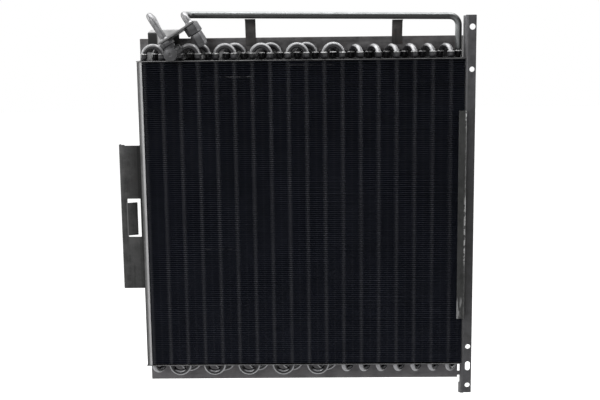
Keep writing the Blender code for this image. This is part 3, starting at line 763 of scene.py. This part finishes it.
# Fins: rippled sheets, each a little out of true along its front edge
FIN_COUNT = 151
FIN_THICK = 0.22 * MM
RIPPLE = 1.35 * MM
FIN_BAYS = 4
FIN_SAG = 0.12
FIN_PUSH = 0.2
ripple_line = ((0.0, 0.0), (0.125, 1.0), (0.375, -1.0), (0.625, 1.0), (0.875, -1.0), (1.0, 0.0))
fin_pitch = (FIN_HEAD - FIN_FOOT - 2.0 * RIPPLE) / (FIN_COUNT - 1)
fin_bm = bmesh.new()
for number in range(FIN_COUNT):
    height = FIN_FOOT + RIPPLE + number * fin_pitch
    sheet_bm = bmesh.new()
    line = [
        sheet_bm.verts.new((-HALF, share * CORE_DEPTH, height + RIPPLE * wave))
        for share, wave in ripple_line
    ]
    line_edges = [sheet_bm.edges.new(pair) for pair in zip(line, line[1:])]
    for bay in range(FIN_BAYS):
        line_edges = draw_ring(sheet_bm, line_edges, Vector((CORE_WIDTH / FIN_BAYS, 0.0, 0.0)))
        for vert in {vert for edge in line_edges for vert in edge.verts}:
            if vert.co.y < 1.0 * MM and bay < FIN_BAYS - 1:
                vert.co.z += draw.uniform(-FIN_SAG, FIN_SAG) * MM
                vert.co.y += draw.uniform(0.0, FIN_PUSH) * MM
    bmesh.ops.recalc_face_normals(sheet_bm, faces=sheet_bm.faces)
    bmesh.ops.solidify(sheet_bm, geom=sheet_bm.faces[:], thickness=FIN_THICK)
    join(fin_bm, sheet_bm)
settle("fin_stack", fin_bm, fin_finish, "fins", "fin_pack", sharp=12.0)


# Tubes


def tube_spot(name):
    """A tube's place from its row letter and number."""
    number = int(name[1:])
    if name[0] == "T":
        return Vector((FIRST_TUBE_X + (number - 1) * TUBE_PITCH, FRONT_ROW_Y, 0.0))
    return Vector((FIRST_TUBE_X + (number - 0.5) * TUBE_PITCH, REAR_ROW_Y, 0.0))


def leg_up(bm, ring, centre, steps, scale_from):
    """Follow (height, radius) steps with a ring round an upright leg."""
    height, radius = scale_from
    for new_height, new_radius in steps:
        ring = draw_ring(bm, ring, Vector((0.0, 0.0, new_height - height)))
        middle = Vector((centre.x, centre.y, new_height))
        resize_ring(bm, ring, middle, new_radius / radius)
        height, radius = new_height, new_radius
    return ring


def u_tube(first, second, leg, down, sides=28, steps=20):
    """Two upright legs and the half turn between them.

    The points carry "crown": 1 on the outer side of the bend, -1 on the inner.
    They also carry "shine": how strongly a painted highlight lies on a return bend's crown.
    """
    bm = bmesh.new()
    start_z, start_r = leg[0]
    bmesh.ops.create_circle(bm, cap_ends=False, segments=sides, radius=start_r)
    bmesh.ops.translate(bm, vec=(first.x, first.y, start_z), verts=bm.verts)
    ring = bm.edges[:]
    bmesh.ops.contextual_create(bm, geom=ring)
    ring = leg_up(bm, ring, first, leg[1:], leg[0])
    across = second - first
    middle = (first + second) / 2.0
    middle.z = leg[-1][0]
    axis = Vector((-across.y, across.x, 0.0)).normalized()
    ring = turn_ring(bm, ring, middle, axis, -math.pi if down else math.pi, steps)
    ring = leg_up(bm, ring, second, list(reversed(leg[:-1])), leg[-1])
    bmesh.ops.contextual_create(bm, geom=ring)
    crown = bm.verts.layers.float.new("crown")
    shine = bm.verts.layers.float.new("shine")
    slants = abs(across.y) > TUBE_R
    for vert in bm.verts:
        aside = (vert.co - middle).dot(across.normalized())
        rise = max(0.0, (middle.z - vert.co.z) if down else (vert.co.z - middle.z))
        vert[crown] = (math.hypot(aside, rise) - across.length / 2.0) / TUBE_R
        share = aside / across.length
        # A slanting bend's painted highlight grows towards its foot on the right, in front
        if slants:
            vert[shine] = min(1.0, max(0.08, 0.34 + 1.8 * share))
        else:
            vert[shine] = min(0.58, 0.18 + 0.4 * rise / (12.0 * MM))
            # A rear bend's left foot gets no painted highlight: it lies in painted shade behind the
            # front bend
            if vert.co.y > CORE_DEPTH / 2.0 and share < -0.3:
                vert[shine] = 0.0
    return bm


SOCKET_DEPTH = 5.0 * MM
SOCKET_FLOOR_Z = BELL_RIM_Z - SOCKET_DEPTH
HAIRPIN_END_Z = -1.1 * MM
hairpin_leg = [
    (BELL_RIM_Z + 1.15 * MM, TUBE_R - 0.1 * MM),
    (BELL_RIM_Z + 0.75 * MM, TUBE_R + 0.35 * MM),
    (BELL_RIM_Z + 0.35 * MM, TUBE_R + 0.8 * MM),
    (BELL_RIM_Z - 0.15 * MM, BELL_R + 0.1 * MM),
    (BELL_RIM_Z - 0.8 * MM, BELL_R + 0.12 * MM),
    (BELL_RIM_Z - 1.4 * MM, BELL_R - 0.05 * MM),
    (SOCKET_FLOOR_Z - 0.4 * MM, BELL_R - 0.05 * MM),
    (SOCKET_FLOOR_Z - 0.9 * MM, BELL_R - 0.3 * MM),
    (SOCKET_FLOOR_Z - 1.5 * MM, TUBE_R + 0.25 * MM),
    (SOCKET_FLOOR_Z - 1.9 * MM, TUBE_R),
    (HAIRPIN_END_Z, TUBE_R),
]
HAIRPINS = [("T1", "S1")]
for k in range(2, 11, 2):
    HAIRPINS.append(("T%d" % k, "T%d" % (k + 1)))
    HAIRPINS.append(("S%d" % k, "S%d" % (k + 1)))
for k in range(12, 19):
    HAIRPINS.append(("T%d" % k, "S%d" % k))
for count, (first, second) in enumerate(HAIRPINS):
    settle(
        "hairpin_tube_%02d" % (count + 1),
        u_tube(tube_spot(first), tube_spot(second), hairpin_leg, True),
        tube_finish,
        "coil_tubes",
        "hairpin_%02d" % (count + 1),
    )

# Bends along a row start near their bells' rims; slanting ones start deeper
leg_foot = (SOCKET_FLOOR_Z + 0.4 * MM, TUBE_R)
row_leg = [leg_foot, (BELL_RIM_Z - 2.0 * MM, TUBE_R)]
slanting_leg = [leg_foot, (BELL_RIM_Z - 4.0 * MM, TUBE_R)]
RETURNS = []
for k in range(1, 12, 2):
    RETURNS.append(("T%d" % k, "T%d" % (k + 1)))
for k in range(1, 10, 2):
    RETURNS.append(("S%d" % k, "S%d" % (k + 1)))
for k in range(12, 18):
    RETURNS.append(("S%d" % k, "T%d" % (k + 1)))
for count, (first, second) in enumerate(RETURNS):
    return_leg = row_leg if first[0] == second[0] else slanting_leg
    settle(
        "return_tube_%02d" % (count + 1),
        u_tube(tube_spot(first), tube_spot(second), return_leg, False),
        tube_finish,
        "coil_tubes",
        "return_bend_%02d" % (count + 1),
    )

# End plates: a drilled sheet, folded along its back edge
TUBE_NAMES = ["T%d" % k for k in range(1, 19)] + ["S%d" % k for k in range(1, 19)]
plate_front = -SIDE_SHEET - GAP - 0.2 * MM
plate_left = -HALF - SIDE_SHEET - 1.9 * MM
plate_holes = []
for name in TUBE_NAMES:
    spot = tube_spot(name)
    plate_holes.append((spot.x, spot.y, TUBE_R + 0.25 * MM))
fold_r = 2.2 * MM


def end_plate(top):
    """A drilled end plate with its back edge folded away from the fins."""
    low = CORE_HEIGHT - SHEET if top else 0.0
    flat_back = CORE_DEPTH - fold_r
    corners = [
        (plate_left, plate_front),
        (HALF, plate_front),
        (HALF, flat_back),
        (plate_left, flat_back),
    ]
    bm = plate(rounded(corners), low, low + SHEET, "Z", plate_holes, 0.2 * MM, 16)
    fold_end = CORE_HEIGHT + FLANGE_RISE if top else -FLANGE_RISE
    inner_z = CORE_HEIGHT - SHEET if top else SHEET
    outer_z = CORE_HEIGHT if top else 0.0
    fold = rounded(
        [
            (flat_back, inner_z),
            (CORE_DEPTH, inner_z, fold_r),
            (CORE_DEPTH, fold_end),
            (CORE_DEPTH - SHEET, fold_end),
            (CORE_DEPTH - SHEET, outer_z, fold_r - SHEET),
            (flat_back, outer_z),
        ]
    )
    return join(bm, plate(fold, plate_left, HALF, "X", edge=0.15 * MM))


settle("top_tube_plate", end_plate(True), plate_finish, "end_plates", "top_end_plate")
settle("bottom_tube_plate", end_plate(False), plate_finish, "end_plates", "bottom_end_plate")

# Left side plate, with a rolled front lip
web_left = -HALF - GAP - SIDE_SHEET
lip_front = -GAP - SIDE_SHEET
lip_right = -HALF + 4.3 * MM
bead = 0.8 * MM
side_section = rounded(
    [
        (web_left - bead, -GAP, 0.6 * MM),
        (web_left - bead, lip_front, 0.7 * MM),
        (lip_right, lip_front, 0.7 * MM),
        (lip_right, -GAP),
        (-HALF - GAP, -GAP, 0.7 * MM),
        (-HALF - GAP, CORE_DEPTH),
        (web_left, CORE_DEPTH),
        (web_left, -GAP, 0.3 * MM),
    ]
)
side_bm = plate(side_section, FIN_FOOT, FIN_HEAD, "Z", edge=0.2 * MM)
settle("side_plate_sheet", side_bm, side_finish, "side_plate", "left_side_plate")

# Right bracket: flange, fold and web
flange_fold = 3.4 * MM
flange_outline = rounded(
    [
        (WEB_X + flange_fold, FLANGE_BOTTOM),
        (FLANGE_X, FLANGE_BOTTOM, 0.8 * MM),
        (FLANGE_X, FLANGE_TOP, 0.8 * MM),
        (WEB_X + flange_fold, FLANGE_TOP),
    ],
    4,
)
hole_r = 3.7 * MM
top_hole_r = 4.2 * MM
slot_stretch = 3.4 * MM
flange_holes = [
    (BOLT_X, CORE_HEIGHT + 42.5 * MM, top_hole_r),
    (BOLT_X, CORE_HEIGHT - 16.3 * MM, hole_r),
    (BOLT_X, 25.6 * MM, hole_r),
    (BOLT_X, -3.8 * MM, hole_r, slot_stretch),
    (BOLT_X, -33.0 * MM, hole_r),
]
bracket_bm = plate(flange_outline, 0.0, BRACKET_SHEET, "Y", flange_holes, 0.3 * MM, 32)
fold_section = rounded(
    [
        (WEB_X, 0.0, flange_fold),
        (WEB_X + flange_fold, 0.0),
        (WEB_X + flange_fold, BRACKET_SHEET),
        (WEB_X + BRACKET_SHEET, BRACKET_SHEET, 0.8 * MM),
        (WEB_X + BRACKET_SHEET, flange_fold),
        (WEB_X, flange_fold),
    ]
)
join(bracket_bm, plate(fold_section, FLANGE_BOTTOM - 0.8 * MM, FLANGE_TOP, "Z", edge=0.15 * MM))
web_depth = 28.0 * MM
foot_depth = 31.0 * MM
notch_depth = 19.0 * MM
web_outline = [
    (flange_fold, FLANGE_BOTTOM - 1.9 * MM),
    (foot_depth, FLANGE_BOTTOM - 10.8 * MM, 2.0 * MM),
    (foot_depth, FLANGE_BOTTOM + 6.2 * MM, 1.5 * MM),
    (notch_depth, FLANGE_BOTTOM + 7.7 * MM, 2.0 * MM),
    (notch_depth, FLANGE_BOTTOM + 37.2 * MM, 2.0 * MM),
    (web_depth, FLANGE_BOTTOM + 38.7 * MM, 1.5 * MM),
    (web_depth, FLANGE_TOP - 0.8 * MM, 1.5 * MM),
    (flange_fold, FLANGE_TOP - 0.8 * MM),
]
join(bracket_bm, plate(rounded(web_outline), WEB_X, WEB_X + BRACKET_SHEET, "X", edge=0.3 * MM))
settle("side_bracket_right", bracket_bm, flange_finish, "frame", "right_side_bracket")

# Rail strip beside the flange
rail_front = -10.7 * MM
rail_left = RAIL_RIGHT - 11.2 * MM
rail_low = 71.0 * MM
rail_high = 371.2 * MM
rail_section = rounded(
    [
        (rail_left, rail_front, 0.5 * MM),
        (RAIL_RIGHT, rail_front, 2.0 * MM),
        (RAIL_RIGHT, -GAP),
        (RAIL_RIGHT - SHEET, -GAP),
        (RAIL_RIGHT - SHEET, rail_front + SHEET, 0.8 * MM),
        (rail_left, rail_front + SHEET),
    ]
)
rail_bm = plate(rail_section, rail_low, rail_high, "Z", edge=0.2 * MM)
settle("rail_sheet", rail_bm, rail_finish, "rail", "rail_strip")

# Frame bars
bar_left = -HALF - 3.4 * MM
top_right = WEB_X + 1.2 * MM
bar_rear = BAR_Y + BAR_SHEET
top_outline = [
    (bar_left, BAR_TOP - BAR_HEIGHT),
    (top_right, BAR_TOP - BAR_HEIGHT),
    (top_right, BAR_TOP, 0.8 * MM),
    (bar_left, BAR_TOP, 0.8 * MM),
]
liquid_z = BAR_TOP - 11.5 * MM
pass_hole = [(LIQUID_X, liquid_z, 4.4 * MM)]
top_bm = plate(rounded(top_outline), BAR_Y, bar_rear, "Y", pass_hole, 0.3 * MM)
settle("frame_bar_top", top_bm, bar_finish, "frame", "top_bar")
ear_low = BAR_BOTTOM + 3.4 * MM
ear_top = BAR_BOTTOM + 9.6 * MM
ear_right = HALF + 3.6 * MM
low_right = HALF - 0.2 * MM
low_outline = [
    (bar_left, BAR_BOTTOM, 0.8 * MM),
    (low_right, BAR_BOTTOM, 0.6 * MM),
    (low_right, ear_low),
    (ear_right, ear_low, 0.6 * MM),
    (ear_right, ear_top, 0.6 * MM),
    (low_right, ear_top, 0.6 * MM),
    (low_right, BAR_BOTTOM + BAR_HEIGHT),
    (bar_left, BAR_BOTTOM + BAR_HEIGHT),
]
low_bm = plate(rounded(low_outline), BAR_Y, bar_rear, "Y", edge=0.3 * MM)
settle("frame_bar_bottom", low_bm, bar_finish, "frame", "bottom_bar")

# Left bracket with its window and bent tab
left_low = 117.5 * MM
left_high = 325.5 * MM
left_out = -HALF - 33.0 * MM
left_in = web_left - GAP
left_sheet = 2.0 * MM
left_fold = 2.6 * MM
left_step = left_high + 1.3 * MM
step_right = left_out + 8.5 * MM
return_depth = 11.0 * MM
leg_depth = 24.0 * MM
window_low = 193.3 * MM
window_high = 249.1 * MM
window_left = -HALF - 23.4 * MM
window_right = left_in - left_sheet - 0.5 * MM
face_outline = [
    (left_out + left_fold, left_low),
    (left_in - left_sheet, left_low),
    (left_in - left_sheet, left_high),
    (step_right, left_high),
    (step_right, left_step, 0.5 * MM),
    (left_out + left_fold, left_step),
]
window_loop = rounded(
    [
        (window_left, window_low, 1.2 * MM),
        (window_left, window_high, 1.2 * MM),
        (window_right, window_high, 0.4 * MM),
        (window_right, window_low, 0.4 * MM),
    ],
    3,
)
window_bm = plate(rounded(face_outline), 0.0, left_sheet, "Y", [window_loop], 0.2 * MM)
return_section = rounded(
    [
        (left_out, 0.0, left_fold),
        (left_out + left_fold, 0.0),
        (left_out + left_fold, left_sheet),
        (left_out + left_sheet, left_sheet, 0.5 * MM),
        (left_out + left_sheet, return_depth),
        (left_out, return_depth),
    ]
)
join(window_bm, plate(return_section, left_low, left_step, "Z", edge=0.2 * MM))
leg_section = rounded(
    [
        (left_in - left_sheet, 0.0),
        (left_in, 0.0, 1.5 * MM),
        (left_in, leg_depth),
        (left_in - left_sheet, leg_depth),
    ]
)
join(window_bm, plate(leg_section, left_low, left_high, "Z", edge=0.2 * MM))
tab_half = 23.8 * MM
tab_bm = box_of((-1.0 * MM, 15.0 * MM), (0.0, 1.6 * MM), (-tab_half, tab_half))
tab_turn = math.radians(24)
bmesh.ops.rotate(tab_bm, matrix=Matrix.Rotation(tab_turn, 3, "Z"), verts=tab_bm.verts)
bmesh.ops.translate(tab_bm, vec=(-HALF - 23.6 * MM, 0.1 * MM, 219.1 * MM), verts=tab_bm.verts)
join(window_bm, tab_bm)
settle("window_bracket", window_bm, window_finish, "frame", "left_window_bracket")

# Bracket that holds the fittings
slope = math.radians(32)
along = Vector((math.cos(slope), 0.0, math.sin(slope)))
down_axis = Vector((math.sin(slope), 0.0, -math.cos(slope)))
plate_start = Vector((-HALF + 31.6 * MM, 0.0, CORE_HEIGHT + 23.9 * MM))
plate_length = 57.0 * MM
plate_thick = 2.4 * MM
fitting_y = -4.0 * MM
seat_r = 5.3 * MM
left_reach = 8.5 * MM
right_reach = plate_length - 7.4 * MM
left_seat = plate_start + along * left_reach + Vector((0.0, fitting_y, 0.0))
right_seat = plate_start + along * right_reach + Vector((0.0, fitting_y, 0.0))
tab_foot = CORE_HEIGHT + FLANGE_RISE + 0.6 * MM
tab_outline = [
    (-HALF + 8.5 * MM, tab_foot),
    (-HALF + 53.5 * MM, tab_foot),
    (-HALF + 53.5 * MM, CORE_HEIGHT + 43.2 * MM, 0.8 * MM),
    (-HALF + 13.0 * MM, CORE_HEIGHT + 43.2 * MM, 2.5 * MM),
    (-HALF + 8.5 * MM, CORE_HEIGHT + 38.7 * MM, 2.5 * MM),
]
holder_bm = plate(rounded(tab_outline), CORE_DEPTH - 1.5 * MM, CORE_DEPTH, "Y", edge=0.25 * MM)
plate_rear = CORE_DEPTH - 0.4 * MM
plate_outline = [
    (0.0, -15.0 * MM, 1.5 * MM),
    (plate_length, -15.0 * MM, 1.5 * MM),
    (plate_length, plate_rear, 1.0 * MM),
    (4.6 * MM, plate_rear, 1.0 * MM),
    (4.6 * MM, REAR_ROW_Y - 7.0 * MM),
    (0.0, REAR_ROW_Y - 9.0 * MM),
]
seat_holes = [(left_reach, fitting_y, seat_r), (right_reach, fitting_y, seat_r)]
slope_bm = plate(
    rounded(plate_outline), -plate_thick / 2.0, plate_thick / 2.0, "Z", seat_holes, 0.3 * MM
)
bmesh.ops.rotate(slope_bm, matrix=Matrix.Rotation(-slope, 3, "Y"), verts=slope_bm.verts)
bmesh.ops.translate(slope_bm, vec=plate_start, verts=slope_bm.verts)
join(holder_bm, slope_bm)
settle("fitting_holder", holder_bm, bracket_finish, "fittings", "fitting_bracket")

# Left fitting: nut, body with side boss, and cap
nut_low = plate_thick / 2.0 + GAP
left_nut = aim(hexagon(10.3 * MM, nut_low, nut_low + 7.5 * MM, 0.9 * MM), left_seat, down_axis)
settle("left_nut", left_nut, fitting_finish, "fittings", "left_fitting_nut")
body_low = nut_low + 7.5 * MM + GAP
stud_r = seat_r - GAP
body_end = body_low + 18.0 * MM
body_profile = [
    (0.0, -4.0 * MM),
    (stud_r - 0.6 * MM, -4.0 * MM),
    (stud_r, -3.4 * MM),
    (stud_r, body_low),
    (7.7 * MM, body_low),
    (8.2 * MM, body_low + 0.6 * MM),
    (8.2 * MM, body_end - 1.0 * MM),
    (7.4 * MM, body_end),
    (0.0, body_end),
]
left_body = aim(turned(body_profile), left_seat, down_axis)
cap_centre = left_seat + down_axis * (body_low + 11.9 * MM) - along * 2.6 * MM
boss_start = left_seat + down_axis * (body_low + 11.0 * MM)
boss_r = 6.8 * MM
boss_length = 13.8 * MM
boss = turned(
    [
        (0.0, 0.0),
        (boss_r, 0.0),
        (boss_r, boss_length - 3.0 * MM),
        (boss_r - 0.6 * MM, boss_length - 1.2 * MM),
        (boss_r - 1.8 * MM, boss_length - 0.2 * MM),
        (boss_r - 3.0 * MM, boss_length),
        (0.0, boss_length),
    ],
    28,
)
join(left_body, aim(boss, boss_start, along))
neck = turned([(0.0, 0.0), (6.0 * MM, 0.0), (6.0 * MM, 10.0 * MM), (0.0, 10.0 * MM)], 32)
join(left_body, aim(neck, cap_centre, Vector((0.0, -1.0, 0.0))))
settle("left_body", left_body, fitting_finish, "fittings", "left_fitting_body")
cap_profile = [
    (0.0, 10.3 * MM),
    (9.2 * MM, 10.3 * MM),
    (9.6 * MM, 10.8 * MM),
    (9.5 * MM, 17.2 * MM),
    (9.0 * MM, 18.4 * MM),
    (8.0 * MM, 19.0 * MM),
    (2.4 * MM, 19.0 * MM),
    (1.8 * MM, 18.5 * MM),
    (0.0, 18.4 * MM),
]
cap_bm = aim(turned(cap_profile, 48), cap_centre, Vector((0.0, -1.0, 0.0)))
settle("service_cap", cap_bm, fitting_finish, "fittings", "left_service_cap")

# Right fitting: two hexagons and a tapered nose
right_nut = aim(hexagon(11.3 * MM, nut_low, nut_low + 13.5 * MM, 1.3 * MM), right_seat, down_axis)
settle("right_nut", right_nut, fitting_finish, "fittings", "right_fitting_nut")
nose_low = nut_low + 13.5 * MM + GAP
right_body = hexagon(9.3 * MM, nose_low, nose_low + 14.0 * MM, 0.8 * MM)
nose_end = nose_low + 19.2 * MM
nose_profile = [
    (0.0, -1.7 * MM),
    (stud_r, -1.7 * MM),
    (stud_r, nose_low + 2.0 * MM),
    (8.0 * MM, nose_low + 10.0 * MM),
    (8.0 * MM, nose_low + 14.6 * MM),
    (6.9 * MM, nose_end - 0.6 * MM),
    (6.3 * MM, nose_end),
    (3.0 * MM, nose_end),
    (2.6 * MM, nose_end - 1.5 * MM),
    (0.0, nose_end - 1.5 * MM),
]
join(right_body, turned(nose_profile))
settle(
    "right_body",
    aim(right_body, right_seat, down_axis),
    fitting_finish,
    "fittings",
    "right_fitting_body",
)

# Pipes
socket_end = SOCKET_FLOOR_Z + 0.5 * MM
run_z = CORE_HEIGHT + 63.2 * MM
run_end_z = CORE_HEIGHT + 57.6 * MM
elbow_top = right_seat - down_axis * ((run_z - right_seat.z) / math.cos(slope))
elbow_end = elbow_top + Vector((0.0, 12.0 * MM, 0.0))
elbow_points = [right_seat - down_axis * 2.0 * MM, elbow_top, elbow_end]
braze_profile = [
    (PIPE_R - 0.4 * MM, -0.6 * MM),
    (PIPE_R + 1.5 * MM, -0.6 * MM),
    (PIPE_R + 1.2 * MM, 0.3 * MM),
    (PIPE_R + 0.5 * MM, 0.9 * MM),
    (PIPE_R + 0.1 * MM, 2.0 * MM),
    (PIPE_R - 0.4 * MM, 2.0 * MM),
    (PIPE_R - 0.4 * MM, -0.6 * MM),
]


def braze(seat):
    """The fillet of braze round a pipe where it leaves the sloping plate."""
    foot = seat - down_axis * (plate_thick / 2.0 + 0.6 * MM)
    return aim(turned(braze_profile, PIPE_SIDES), foot, -down_axis)


elbow_bm = join(pipe_run(elbow_points, PIPE_R, 7.5 * MM, steps=18), braze(right_seat))
settle("elbow_tube", elbow_bm, silver_finish, "pipes", "right_elbow")

mouth_steps = ((1.2 * MM, 0.94), (1.2 * MM, 0.83), (1.1 * MM, 0.97), (5.5 * MM, 1.0))
discharge_points = [
    elbow_end + Vector((0.0, GAP, 0.0)),
    Vector((elbow_top.x, REAR_ROW_Y, run_z)),
    Vector((DISCHARGE_X, REAR_ROW_Y, run_end_z)),
    Vector((DISCHARGE_X, REAR_ROW_Y, BELL_RIM_Z + 4.5 * MM)),
]
discharge_bm = pipe_run(discharge_points, PIPE_R, 13.0 * MM, mouths=mouth_steps)
settle("discharge_line", discharge_bm, steel_finish, "steel_pipe", "discharge_pipe")

rear_run_y = CORE_DEPTH + BAR_SHEET + 8.6 * MM
liquid_r = PIPE_R * 0.8
liquid_start = [
    Vector((left_seat.x + 10.0 * MM, rear_run_y, liquid_z)),
    Vector((LIQUID_X, rear_run_y, liquid_z)),
    Vector((LIQUID_X, REAR_ROW_Y, liquid_z)),
    Vector((LIQUID_X, REAR_ROW_Y, socket_end)),
]
liquid_end = [
    Vector((left_seat.x + 10.2 * MM, rear_run_y, liquid_z)),
    left_seat + Vector((-12.9 * MM, rear_run_y - fitting_y, 5.5 * MM)),
    left_seat + Vector((-23.7 * MM, rear_run_y - fitting_y, 30.1 * MM)),
    left_seat + down_axis * -40.3 * MM,
    left_seat + down_axis * (-4.0 * MM - GAP),
]
liquid_bm = pipe_run(liquid_start, liquid_r, 9.0 * MM, steps=10)
join(liquid_bm, pipe_run(liquid_end, PIPE_R, 9.0 * MM, steps=10))
join(liquid_bm, braze(left_seat))
settle("liquid_line", liquid_bm, silver_finish, "pipes", "liquid_pipe")

# Clips from the top bar to the pipe
clip_sheet = 1.8 * MM
pad_sheet = 1.6 * MM
half_clip = 7.4 * MM
clip_foot = CORE_HEIGHT + 19.5 * MM
for name, node, middle_x in (
    ("clip_left", "left_pipe_clip", -72.8 * MM),
    ("clip_right", "right_pipe_clip", 136.0 * MM),
):
    share = (middle_x - elbow_top.x) / (DISCHARGE_X - elbow_top.x)
    under = run_z + (run_end_z - run_z) * share - PIPE_R - 2.0 * GAP
    clip_section = rounded(
        [
            (CORE_DEPTH, clip_foot),
            (CORE_DEPTH, BAR_TOP + 2.0 * MM, 3.0 * MM),
            (REAR_ROW_Y + 3.6 * MM, under - pad_sheet, 2.0 * MM),
            (REAR_ROW_Y + 3.6 * MM, under),
            (REAR_ROW_Y - 5.0 * MM, under),
            (REAR_ROW_Y - 5.0 * MM, under - pad_sheet),
            (REAR_ROW_Y + 1.4 * MM, under - pad_sheet),
            (CORE_DEPTH - clip_sheet, BAR_TOP + 1.4 * MM),
            (CORE_DEPTH - clip_sheet, clip_foot),
        ],
        4,
    )
    clip_bm = plate(clip_section, middle_x - half_clip, middle_x + half_clip, "X", edge=0.2 * MM)
    settle(name, clip_bm, clip_finish, "frame", node)

# Floor and studio


def seen_directly(tree):
    """One for what the camera sees, also through glass."""
    rays = add_node(tree, "LightPath").outputs
    inputs = {0: rays["Is Camera Ray"], 1: rays["Is Transmission Ray"]}
    return add_node(tree, "Math", inputs, operation="MAXIMUM").outputs["Value"]


WHITE = (1.0, 1.0, 1.0, 1.0)
FLOOR_DROP = 0.32
FLOOR_HALF = 9.0
FLOOR_GLOW = 0.75
floor_bm = bmesh.new()
bmesh.ops.create_grid(floor_bm, x_segments=1, y_segments=1, size=FLOOR_HALF)
floor_place = Vector((0.0, 0.0, ZERO.z + FLANGE_BOTTOM - FLOOR_DROP))
bmesh.ops.translate(floor_bm, vec=floor_place, verts=floor_bm.verts)
floor_mesh = bpy.data.meshes.new("floor")
floor_bm.to_mesh(floor_mesh)
floor_bm.free()
floor = bpy.data.objects.new("floor", floor_mesh)
bpy.context.scene.collection.objects.link(floor)
floor_paint = Finish("floor_white", 0.9, 0.0)
floor_paint.shader.inputs["Base Color"].default_value = (*grey(0.5), 1.0)
floor_paint.shader.inputs["Emission Color"].default_value = WHITE
floor_glow = floor_paint.reckon("MULTIPLY", seen_directly(floor_paint.tree), FLOOR_GLOW)
floor_paint.link(floor_glow, "Emission Strength")
floor_mesh.materials.append(floor_paint.material)

# The studio is white to the camera, and dimmer in front of the coil for its light
world = bpy.data.worlds.new("studio")
bpy.context.scene.world = world
world.use_nodes = True
studio = world.node_tree
studio.nodes.clear()
way = add_node(studio, "TexCoord").outputs["Generated"]
way_back = add_node(studio, "SeparateXYZ", {"Vector": way}).outputs["Y"]
dimming = {"Value": way_back, "From Min": -0.55, "From Max": 0.35, "To Min": 0.16, "To Max": 1.0}
dimmed = add_node(studio, "MapRange", dimming).outputs["Result"]
glow = add_node(studio, "Math", {0: seen_directly(studio), 1: dimmed}, operation="MAXIMUM")
background = add_node(studio, "Background", {"Color": WHITE, "Strength": glow.outputs["Value"]})
add_node(studio, "OutputWorld", {"Surface": background.outputs["Background"]})


def softbox(name, offset, width, height, energy):
    """A broad studio lamp that faces the core's middle."""
    light = bpy.data.lights.new(name, "AREA")
    light.shape = "RECTANGLE"
    light.size = width
    light.size_y = height
    light.energy = energy
    core_middle = Vector((ZERO.x, 0.0, 0.0))
    lamp = bpy.data.objects.new(name, light)
    lamp.location = core_middle + Vector(offset)
    lamp.rotation_mode = "QUATERNION"
    lamp.rotation_quaternion = (core_middle - lamp.location).to_track_quat("-Z", "Y")
    bpy.context.scene.collection.objects.link(lamp)


# Metres from the core's middle, then each lamp's width, height and watts
softbox("top_softbox", (0.0, 0.12, 1.5), 1.7, 1.2, 24.0)
softbox("left_softbox", (-1.5, 0.2, 0.3), 1.3, 1.1, 13.0)
softbox("right_softbox", (1.5, 0.2, 0.3), 1.3, 1.1, 13.0)
softbox("front_softbox", (-1.0, -2.1, 1.0), 1.3, 1.0, 18.0)

# Camera: the photograph's viewpoint, a little above the coil and almost in front
camera_data = bpy.data.cameras.new("camera")
camera_data.lens = 63.2
camera_data.sensor_width = 36.0
camera_data.clip_start = 0.05
camera_data.clip_end = 60.0
camera = bpy.data.objects.new("camera", camera_data)
camera_place = Vector((19.8, -1484.9, 495.5)) * MM + ZERO
camera_turn = 0.01637
camera_pitch = math.radians(90.0 - 9.57)
camera_roll = -0.01175
camera.matrix_world = (
    Matrix.Translation(camera_place)
    @ Matrix.Rotation(camera_turn, 4, "Z")
    @ Matrix.Rotation(camera_pitch, 4, "X")
    @ Matrix.Rotation(camera_roll, 4, "Z")
)
bpy.context.scene.collection.objects.link(camera)
bpy.context.scene.camera = camera
bpy.context.scene.view_settings.view_transform = "Standard"

bpy.context.view_layer.update()
